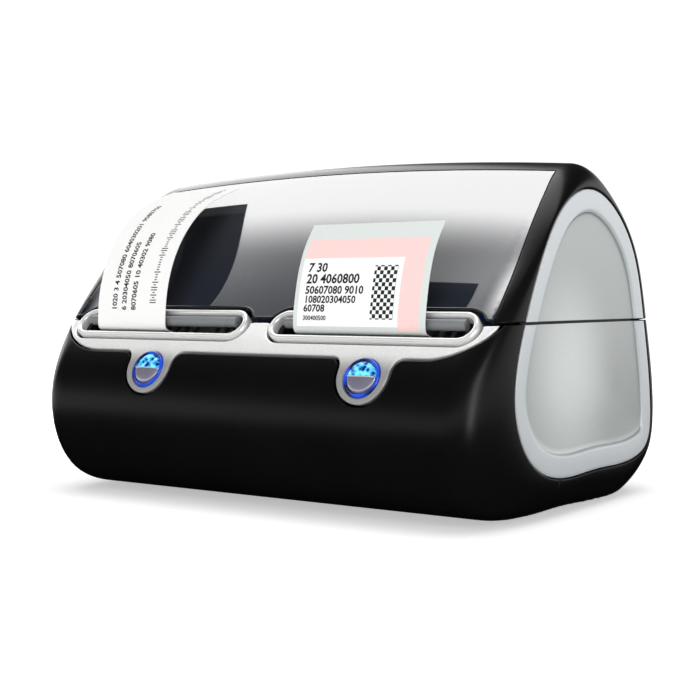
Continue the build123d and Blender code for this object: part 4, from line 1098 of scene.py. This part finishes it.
def digit_rows(name, rows, route, x_start, material):
    """Printed rows of digits laid on a bent strip.  Each row is (digits, size, across, along,
    upright); upright rows read across the strip and the others read along it."""
    verts, faces = [], []
    for digits, size, across, along, upright in rows:
        words = bpy.data.curves.new("row", "FONT")
        words.body = digits
        words.size = size
        words.offset = size * 0.028
        words.resolution_u = 2
        holder = bpy.data.objects.new("row", words)
        bpy.context.scene.collection.objects.link(holder)
        bpy.context.view_layer.update()
        shapes = bpy.data.meshes.new_from_object(holder.evaluated_get(bpy.context.evaluated_depsgraph_get()))
        base = len(verts)
        flat = np.array([v.co[:2] for v in shapes.vertices])
        c, s = across - flat[:, 1], along + flat[:, 0]
        if upright:
            c, s = across + flat[:, 0], along + flat[:, 1]
        spots = strip_point(route, s, np.full(len(s), PAPER_HALF + INK_LIFT))
        verts += [(x_start + x, *p) for x, p in zip(c, spots)]
        faces += [tuple(base + v for v in face.vertices) for face in shapes.polygons]
        bpy.data.objects.remove(holder)
        bpy.data.curves.remove(words)
        bpy.data.meshes.remove(shapes)
    return mesh_object(name, verts, faces, material)


digits = {
    "left": [("1020 3 4 507080 604030201 9080706", 3.5, 10.4, 3.0, False),
             ("6 20304050 8070605", 3.5, 15.6, 3.0, False), ("8070605 10 40302 9080", 3.5, 20.8, 3.0, False)],
    "right": [("7 30", 4.8, 4.4, 18.6, True), ("20 4060800", 4.9, 4.4, 14.3, True),
              ("50607080 9010", 4.1, 4.4, 10.4, True), ("108020304050", 3.8, 4.4, 7.0, True),
              ("60708", 3.8, 4.4, 3.7, True), ("300400500", 2.3, 4.4, 0.6, True)]}
for name, lane in LANES.items():
    x_start = lane + STRIP_EDGE
    lead = [slot_place(0.0, [(0.0, up, out)])[0][1:] for up, out in STRIP_LEAD]
    route = open_spline(lead + list(STRIP_ROUTE[name]))
    sheet = strip_sheet(f"label_strip_{name}_sheet", route, x_start, STRIP_WIDTH[name], paper[name],
                        liner_back_painted_shade)
    rows = digit_rows(f"label_strip_{name}_print", digits[name], route, x_start, print_ink)
    pieces = [sheet, rows]
    if name == "left":
        ticks = np.random.default_rng(5)
        verts, faces = [], []
        for s in np.arange(6.0, 86.0, 1.05):
            reach = 1.3 + 2.0 * ticks.integers(0, 2)
            spots = strip_point(route, [s, s + 0.42], np.full(2, PAPER_HALF + INK_LIFT))
            for (y, z), c in ((spots[0], 30.0 - reach / 2), (spots[0], 30.0 + reach / 2),
                              (spots[1], 30.0 + reach / 2), (spots[1], 30.0 - reach / 2)):
                verts.append((x_start + c, y, z))
            faces.append(tuple(range(len(verts) - 4, len(verts))))
        bars = mesh_object("label_strip_left_bars", verts, faces, print_ink)
        pieces.append(bars)
    for piece in pieces:
        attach(piece, "case")
        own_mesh(piece)
    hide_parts(f"label_strip_{name}")

# ---------------------------------------------------------------- buttons
# Two feed buttons: a satin cap below and a faceted blue lens above, lit from behind, inside a blue
# light ring that sits in the tongue of the bezel.
BUTTON_R, CHORD, CHORD_GAP = 5.9, 0.2, 0.22
GLOW_R = 6.7                # middle line of the light ring


def button_place(x, points):
    """Points (along, up, out) on the button plane of the lane at x, in mm."""
    points = np.asarray(points, float)
    y = BUTTON_Y + points[:, 1] * math.cos(BUTTON_TILT) - points[:, 2] * math.sin(BUTTON_TILT)
    z = BUTTON_Z + points[:, 1] * math.sin(BUTTON_TILT) + points[:, 2] * math.cos(BUTTON_TILT)
    return np.column_stack([x + points[:, 0], y, z])


def domed_half(name, x, rows, sides, cut_at, keep_up, jitter, material, smooth):
    """Half of a domed disc on the button plane, cut along a level chord and closed."""
    rng = np.random.default_rng(11)
    mesh = bmesh.new()
    rings = []
    for radius, out in rows:
        turn = np.linspace(0, 2 * math.pi, sides, endpoint=False) + (0.5 * len(rings) % 1) * math.pi / sides
        wobble = rng.uniform(-jitter, jitter, sides) if 0 < radius < BUTTON_R - 0.1 else np.zeros(sides)
        rings.append([mesh.verts.new((radius * math.cos(t), radius * math.sin(t), out + w))
                      for t, w in zip(turn, wobble)])
    back, tip = mesh.verts.new((0, 0, rows[0][1])), mesh.verts.new((0, 0, rows[-1][1] + jitter))
    for k in range(sides):
        j = (k + 1) % sides
        mesh.faces.new((back, rings[0][j], rings[0][k]))
        mesh.faces.new((tip, rings[-1][k], rings[-1][j]))
        for low, high in zip(rings[:-1], rings[1:]):
            mesh.faces.new((low[k], low[j], high[j]))
            mesh.faces.new((low[k], high[j], high[k]))
    cut_flat(mesh, (0, cut_at, 0), (0, -1 if keep_up else 1, 0))
    bmesh.ops.recalc_face_normals(mesh, faces=mesh.faces[:])
    placed = button_place(x, [tuple(v.co) for v in mesh.verts]) * 0.001
    for vert, spot in zip(mesh.verts, placed):
        vert.co = spot
    data = bpy.data.meshes.new(name)
    mesh.to_mesh(data)
    mesh.free()
    data.materials.append(material)
    data.polygons.foreach_set("use_smooth", [smooth] * len(data.polygons))
    if smooth:
        data.set_sharp_from_angle(angle=math.radians(35))
    piece = bpy.data.objects.new(name, data)
    bpy.context.scene.collection.objects.link(piece)
    return piece


def glowing(name, deep, bright, strength, scale, roughness):
    """Clear blue plastic lit from behind, with painted glints: patches where its colour and glow are
    brighter.
    """
    material, shader, add, link = node_material(name)
    where = add("ShaderNodeTexCoord")
    # Painted glints: Voronoi cells times noise pick the brighter patches, in the colour and in the glow
    # alike.
    cells = add("ShaderNodeTexVoronoi", Scale=scale)
    link(where.outputs["Object"], cells.inputs["Vector"])
    patch = add("ShaderNodeTexNoise", Scale=scale * 0.45, Detail=2.0)
    link(where.outputs["Object"], patch.inputs["Vector"])
    both = add("ShaderNodeMath", operation="MULTIPLY")
    link(cells.outputs["Distance"], both.inputs[0])
    link(patch.outputs["Fac"], both.inputs[1])
    level = add("ShaderNodeMapRange")
    level.inputs["From Min"].default_value = 0.14
    level.inputs["From Max"].default_value = 0.36
    link(both.outputs[0], level.inputs["Value"])
    tint = add("ShaderNodeMix", data_type="RGBA")
    tint.inputs[6].default_value = (*deep, 1)
    tint.inputs[7].default_value = (*bright, 1)
    link(level.outputs["Result"], tint.inputs["Factor"])
    link(tint.outputs[2], shader.inputs["Base Color"])
    link(tint.outputs[2], shader.inputs["Emission Color"])
    gloss = add("ShaderNodeMapRange")
    gloss.inputs["To Min"].default_value = roughness * 0.7
    gloss.inputs["To Max"].default_value = roughness * 1.3
    link(patch.outputs["Fac"], gloss.inputs["Value"])
    link(gloss.outputs["Result"], shader.inputs["Roughness"])
    shader.inputs["Emission Strength"].default_value = strength
    shader.inputs["Coat Weight"].default_value = 0.6
    shader.inputs["Coat Roughness"].default_value = 0.05
    return material


button_silver = silver_paint("button_silver", (0.50, 0.48, 0.62), 0.22, metallic=0.7, flake=2600.0)
lens_blue = glowing("button_lens_blue", (0.001, 0.012, 0.12), (0.12, 0.58, 1.0), 0.75, 560.0, 0.08)
ring_blue = glowing("light_ring_blue", (0.001, 0.003, 0.03), (0.01, 0.06, 0.50), 0.45, 160.0, 0.12)
cap_rows = [(5.8, -1.0), (5.86, -0.4), (5.86, 0.05), (5.6, 0.4), (5.0, 0.62), (4.0, 0.76),
            (2.6, 0.85), (1.2, 0.88)]       # radius and height, from the skirt to the middle
lens_rows = [(5.8, -1.0), (5.86, -0.2), (5.86, 0.25), (4.9, 0.75), (3.2, 0.95), (1.5, 1.05)]
for side, lane in LANES.items():
    x = lane + TONGUE_SHIFT
    cap = domed_half(f"button_cap_{side}_face", x, cap_rows, 64, CHORD - CHORD_GAP, False, 0.0,
                     button_silver, True)
    lens = domed_half(f"button_lens_{side}_face", x, lens_rows, 18, CHORD + CHORD_GAP, True, 0.14,
                      lens_blue, False)
    turn = np.linspace(0, 2 * math.pi, 96, endpoint=False)
    round_path = np.column_stack([np.cos(turn), np.sin(turn)])
    section = [(0.55, -2.3), (0.55, 0.1), (0.42, 0.4), (0.15, 0.52), (-0.15, 0.48), (-0.42, 0.25),
               (-0.55, -0.2), (-0.55, -2.3)]
    glow = swept_ring(f"light_ring_{side}_lens", round_path * GLOW_R, round_path, section,
                      lambda points, x=x: button_place(x, points), ring_blue)
    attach(glow, "case")
    box = [(a * 5.5, up, out) for out in (-0.8, 0.98) for up in (CHORD - 0.18, CHORD + 0.18) for a in (-1, 1)]
    divider = mesh_object(f"button_divider_{side}", button_place(x, box), [
        (0, 2, 3, 1), (4, 5, 7, 6), (0, 1, 5, 4), (2, 6, 7, 3), (0, 4, 6, 2), (1, 3, 7, 5)], ring_silver)
    divider.data.polygons.foreach_set("use_smooth", [False] * 6)
    for piece in (cap, lens, divider):
        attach(piece, f"button_{side}")
    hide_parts(f"button_cap_{side}")
    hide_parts(f"button_lens_{side}")
    if side == "left":
        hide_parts("light_rings")

# ---------------------------------------------------------------- inner parts
# The mechanism under the lid and in the floor keeps its machined shapes; each part gets the
# finish it has in life.
def dress(material, *names):
    """Give CAD nodes a finish."""
    for name in names:
        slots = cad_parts[name].data.materials
        if not len(slots):
            slots.append(material)
        for k in range(len(slots)):
            slots[k] = material


def brushed_metal(name, colour, roughness, stretch, strength=0.25):
    """Machined or drawn metal with fine lines along one axis."""
    material, shader, add, link = node_material(name)
    where = add("ShaderNodeTexCoord")
    squeeze = add("ShaderNodeMapping")
    squeeze.inputs["Scale"].default_value = stretch
    link(where.outputs["Object"], squeeze.inputs["Vector"])
    lines = add("ShaderNodeTexNoise", Scale=600.0, Detail=3.0)
    link(squeeze.outputs["Vector"], lines.inputs["Vector"])
    shade = add("ShaderNodeMapRange")
    shade.inputs["To Min"].default_value = 0.85
    shade.inputs["To Max"].default_value = 1.1
    link(lines.outputs["Fac"], shade.inputs["Value"])
    tint = add("ShaderNodeVectorMath", operation="SCALE")
    tint.inputs[0].default_value = colour
    link(shade.outputs["Result"], tint.inputs["Scale"])
    link(tint.outputs["Vector"], shader.inputs["Base Color"])
    gloss = add("ShaderNodeMapRange")
    gloss.inputs["To Min"].default_value = roughness * 0.8
    gloss.inputs["To Max"].default_value = roughness * 1.25
    link(lines.outputs["Fac"], gloss.inputs["Value"])
    link(gloss.outputs["Result"], shader.inputs["Roughness"])
    bump = add("ShaderNodeBump", Strength=strength, Distance=0.00003)
    link(lines.outputs["Fac"], bump.inputs["Height"])
    link(bump.outputs["Normal"], shader.inputs["Normal"])
    shader.inputs["Metallic"].default_value = 0.95
    return material


def wound_paper():
    """Edge and outside of a paper roll: faint rings round the spindle, warm at the edge."""
    material, shader, add, link = node_material("wound_paper")
    where = add("ShaderNodeTexCoord")
    low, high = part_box("label_roll_left")
    shift = add("ShaderNodeVectorMath", operation="SUBTRACT")
    shift.inputs[1].default_value = (0.0, (low.y + high.y) / 2, (low.z + high.z) / 2)
    link(where.outputs["Object"], shift.inputs[0])
    flatten = add("ShaderNodeVectorMath", operation="MULTIPLY")
    flatten.inputs[1].default_value = (0.0, 1.0, 1.0)
    link(shift.outputs["Vector"], flatten.inputs[0])
    arm = add("ShaderNodeVectorMath", operation="LENGTH")
    link(flatten.outputs["Vector"], arm.inputs[0])
    turns = add("ShaderNodeMath", operation="MULTIPLY")
    link(arm.outputs["Value"], turns.inputs[0])
    turns.inputs[1].default_value = 22000.0
    wave = add("ShaderNodeMath", operation="SINE")
    link(turns.outputs[0], wave.inputs[0])
    shade = add("ShaderNodeMapRange")
    shade.inputs["From Min"].default_value = -1.0
    shade.inputs["To Min"].default_value = 0.86
    shade.inputs["To Max"].default_value = 1.0
    link(wave.outputs[0], shade.inputs["Value"])
    tint = add("ShaderNodeVectorMath", operation="SCALE")
    tint.inputs[0].default_value = (0.78, 0.77, 0.73)
    link(shade.outputs["Result"], tint.inputs["Scale"])
    link(tint.outputs["Vector"], shader.inputs["Base Color"])
    bump = add("ShaderNodeBump", Strength=0.4, Distance=0.00005)
    link(wave.outputs[0], bump.inputs["Height"])
    link(bump.outputs["Normal"], shader.inputs["Normal"])
    gloss = add("ShaderNodeMapRange")
    gloss.inputs["To Min"].default_value = 0.55
    gloss.inputs["To Max"].default_value = 0.7
    link(shade.outputs["Result"], gloss.inputs["Value"])
    link(gloss.outputs["Result"], shader.inputs["Roughness"])
    return material


inner_black = plastic("inner_black", (0.010, 0.010, 0.011), 0.45, specular=0.3)
dress(plastic("base_black", (0.008, 0.008, 0.008), 0.5, grain=500.0, specular=0.3), "base_plate")
dress(inner_black, "exit_tray", "spool_cradle", "power_socket")
dress(plastic("foot_rubber", (0.018, 0.018, 0.019), 0.8, grain=350.0, specular=0.2), "rubber_feet")
steel = brushed_metal("bright_steel", (0.62, 0.62, 0.63), 0.24, (0.04, 1.0, 1.0))
dress(steel, "hinge_pins", "tear_bar_left", "tear_bar_right")
dress(brushed_metal("screw_steel", (0.30, 0.30, 0.31), 0.35, (1.0, 1.0, 0.1)), "case_screws")
dress(brushed_metal("frame_steel", (0.52, 0.53, 0.54), 0.38, (1.0, 0.08, 1.0)),
      "engine_frame_left", "engine_frame_right")
dress(brushed_metal("spring_steel", (0.55, 0.55, 0.56), 0.3, (1.0, 1.0, 0.3)),
      "head_springs_left", "head_springs_right")
dress(brushed_metal("motor_can", (0.42, 0.43, 0.44), 0.33, (0.1, 1.0, 1.0)),
      "stepper_motor_left", "stepper_motor_right")
dress(brushed_metal("socket_steel", (0.58, 0.58, 0.60), 0.28, (1.0, 0.1, 1.0)), "usb_socket")
dress(brushed_metal("sink_aluminium", (0.66, 0.67, 0.68), 0.36, (0.06, 1.0, 1.0)),
      "heat_sink_left", "heat_sink_right")
dress(brushed_metal("bush_bronze", (0.52, 0.33, 0.15), 0.34, (1.0, 1.0, 1.0)), "platen_bushes")
dress(brushed_metal("pinion_brass", (0.70, 0.50, 0.18), 0.28, (0.2, 1.0, 1.0)),
      "motor_pinion_left", "motor_pinion_right")
dress(plastic("guide_grey", (0.19, 0.20, 0.205), 0.28, grain=1200.0, variation=0.08),
      "guide_bar_left", "guide_bar_right")
dress(plastic("guide_plastic", (0.16, 0.17, 0.18), 0.4, variation=0.1),
      "label_guide_left", "label_guide_right")
dress(plastic("spool_plastic", (0.045, 0.047, 0.05), 0.38, variation=0.15), "spool_left", "spool_right",
      "spool_guide_left", "spool_guide_right")
dress(wound_paper(), "label_roll_left", "label_roll_right")
dress(plastic("platen_rubber", (0.022, 0.022, 0.023), 0.72, grain=600.0, specular=0.2), "platen_roller_left",
      "platen_roller_right")
dress(plastic("gear_white", (0.72, 0.71, 0.66), 0.35, variation=0.05), "idler_gear_left", "idler_gear_right",
      "platen_gear_left", "platen_gear_right")
dress(plastic("head_ceramic", (0.45, 0.40, 0.36), 0.22, grain=300.0, variation=0.08), "print_head_left",
      "print_head_right")
dress(plastic("lever_blue", (0.03, 0.11, 0.36), 0.35, variation=0.08),
      "release_lever_left", "release_lever_right")
dress(plastic("board_green", (0.012, 0.085, 0.040), 0.3, grain=250.0, depth=0.00005, variation=0.3),
      "main_board")

# ---------------------------------------------------------------- studio
# White floor, bright all round at table height and dark overhead, so that the black case stays
# black.  One tall softbox draws the highlight down the right front corner.
def stage_floor():
    material, shader, add, link = node_material("sweep")
    where = add("ShaderNodeTexCoord")
    mottle = add("ShaderNodeTexNoise", Scale=3.0, Detail=2.0)
    link(where.outputs["Object"], mottle.inputs["Vector"])
    tone = add("ShaderNodeMapRange")
    tone.inputs["To Min"].default_value = 0.94
    tone.inputs["To Max"].default_value = 0.96
    link(mottle.outputs["Fac"], tone.inputs["Value"])
    link(tone.outputs["Result"], shader.inputs["Base Color"])
    shader.inputs["Roughness"].default_value = 0.9
    shader.inputs["Specular IOR Level"].default_value = 0.0
    # Painted shadow: the floor's glow falls from 1.05 to 0.45 towards where the case stands, within 0.42 m of
    # the middle, on top of its real shadow.
    reach = add("ShaderNodeVectorMath", operation="LENGTH")
    link(where.outputs["Object"], reach.inputs[0])
    glow = add("ShaderNodeMapRange", interpolation_type="SMOOTHSTEP")
    glow.inputs["From Min"].default_value = 0.10
    glow.inputs["From Max"].default_value = 0.42
    glow.inputs["To Min"].default_value = 0.45
    glow.inputs["To Max"].default_value = 1.05
    link(reach.outputs["Value"], glow.inputs["Value"])
    link(glow.outputs["Result"], shader.inputs["Emission Strength"])
    shader.inputs["Emission Color"].default_value = (1, 1, 1, 1)
    return material


FLOOR_HALF = 6000
sweep = mesh_object("sweep", [(-FLOOR_HALF, -FLOOR_HALF, 0), (FLOOR_HALF, -FLOOR_HALF, 0),
                              (FLOOR_HALF, FLOOR_HALF, 0), (-FLOOR_HALF, FLOOR_HALF, 0)],
                    [(0, 1, 2, 3)], stage_floor())
sweep.visible_glossy = False
sweep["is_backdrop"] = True

world = bpy.data.worlds.new("studio")
world.use_nodes = True
bpy.context.scene.world = world
nodes, links = world.node_tree.nodes, world.node_tree.links
way = nodes.new("ShaderNodeTexCoord")
parts = nodes.new("ShaderNodeSeparateXYZ")
links.new(way.outputs["Generated"], parts.inputs[0])
behind = nodes.new("ShaderNodeMapRange")
behind.interpolation_type = "SMOOTHSTEP"
behind.inputs["From Min"].default_value = 0.0
behind.inputs["From Max"].default_value = 0.5
behind.inputs["To Min"].default_value = 0.22
behind.inputs["To Max"].default_value = 0.30
links.new(parts.outputs["Y"], behind.inputs["Value"])
above = nodes.new("ShaderNodeMath")
above.operation = "SUBTRACT"
links.new(behind.outputs["Result"], above.inputs[0])
links.new(parts.outputs["Z"], above.inputs[1])
fade = nodes.new("ShaderNodeMapRange")
fade.interpolation_type = "SMOOTHSTEP"
fade.inputs["From Min"].default_value = -0.05
fade.inputs["From Max"].default_value = 0.06
fade.inputs["To Min"].default_value = 0.05
fade.inputs["To Max"].default_value = 1.1
links.new(above.outputs[0], fade.inputs["Value"])
ground = nodes.new("ShaderNodeMapRange")
ground.interpolation_type = "SMOOTHSTEP"
ground.inputs["From Min"].default_value = -0.12
ground.inputs["From Max"].default_value = -0.02
links.new(parts.outputs["Z"], ground.inputs["Value"])
level = nodes.new("ShaderNodeMath")
level.operation = "MULTIPLY"
links.new(fade.outputs["Result"], level.inputs[0])
links.new(ground.outputs["Result"], level.inputs[1])
links.new(level.outputs[0], nodes["Background"].inputs["Strength"])
nodes["Background"].inputs["Color"].default_value = (1, 1, 1, 1)


def softbox(name, place, target, width, height, watts, mirrored_in_gloss):
    """Area light at a place, turned to a target, in m and W."""
    data = bpy.data.lights.new(name, "AREA")
    data.shape = "RECTANGLE"
    data.size, data.size_y, data.energy = width, height, watts
    lamp = bpy.data.objects.new(name, data)
    lamp.location = place
    lamp.rotation_euler = (Vector(place) - Vector(target)).to_track_quat("Z", "Y").to_euler()
    lamp.visible_glossy = mirrored_in_gloss
    bpy.context.scene.collection.objects.link(lamp)


softbox("top_fill", (0.1, -0.1, 1.6), (0, 0, 0.05), 1.8, 1.8, 19.0, False)
softbox("front_fill", (0.3, -1.6, 0.9), (0, 0, 0.07), 1.4, 1.0, 8.0, False)
softbox("corner_strip", (1.62, -0.66, 0.35), (0.1, -0.05, 0.06), 0.24, 1.2, 9.0, True)


def gradient_card():
    """Light card whose glow fades out along its height."""
    material, shader, add, link = node_material("gradient_card")
    where = add("ShaderNodeTexCoord")
    height = add("ShaderNodeVectorMath", operation="DOT_PRODUCT")
    link(where.outputs["Object"], height.inputs[0])
    height.inputs[1].default_value = tuple(CARD_FADE)
    glow = add("ShaderNodeMapRange", interpolation_type="SMOOTHSTEP")
    middle = CARD_AT.dot(CARD_FADE)
    glow.inputs["From Min"].default_value = middle - 0.042
    glow.inputs["From Max"].default_value = middle + 0.048
    glow.inputs["To Min"].default_value = 0.0
    glow.inputs["To Max"].default_value = 3.4
    link(height.outputs["Value"], glow.inputs["Value"])
    link(glow.outputs["Result"], shader.inputs["Emission Strength"])
    shader.inputs["Emission Color"].default_value = (1, 1, 1, 1)
    shader.inputs["Base Color"].default_value = (0, 0, 0, 1)
    shader.inputs["Specular IOR Level"].default_value = 0.0
    return material


# The card hangs up and to the left, where the window mirrors it: white at the top of the window,
# fading to the smoke colour at its foot.
CARD_WAY = Vector((-0.57, -0.08, 0.81)).normalized()
CARD_AT = Vector((0.0, -0.036, 0.096)) + 0.35 * CARD_WAY
CARD_SIDE = CARD_WAY.cross(Vector((0.0, 0.69, 0.72))).normalized()
CARD_UP = CARD_SIDE.cross(CARD_WAY).normalized()
CARD_FADE = CARD_UP + Vector((-0.55, 0.0, 0.0))
CARD_HALF_WIDE, CARD_HALF_TALL = 0.45, 0.35
corners = [CARD_AT + CARD_SIDE * a * CARD_HALF_WIDE + CARD_UP * b * CARD_HALF_TALL
           for a, b in ((-1, -1), (1, -1), (1, 1), (-1, 1))]
card = mesh_object("gradient_card", [tuple(c) for c in corners], [(0, 1, 2, 3)], gradient_card(), scale=1.0)
card.visible_camera = card.visible_diffuse = card.visible_shadow = False
card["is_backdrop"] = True

camera_data = bpy.data.cameras.new("camera")
camera_data.lens = 68.6
camera = bpy.data.objects.new("camera", camera_data)
camera.location = (0.3145, -0.4534, 0.0805)
camera.rotation_euler = Euler((math.radians(90 - 2.33), 0, math.radians(34.68)))
bpy.context.scene.collection.objects.link(camera)
bpy.context.scene.camera = camera
bpy.context.scene.view_settings.view_transform = "Standard"

# ---------------------------------------------------------------- size and end
low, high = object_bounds()
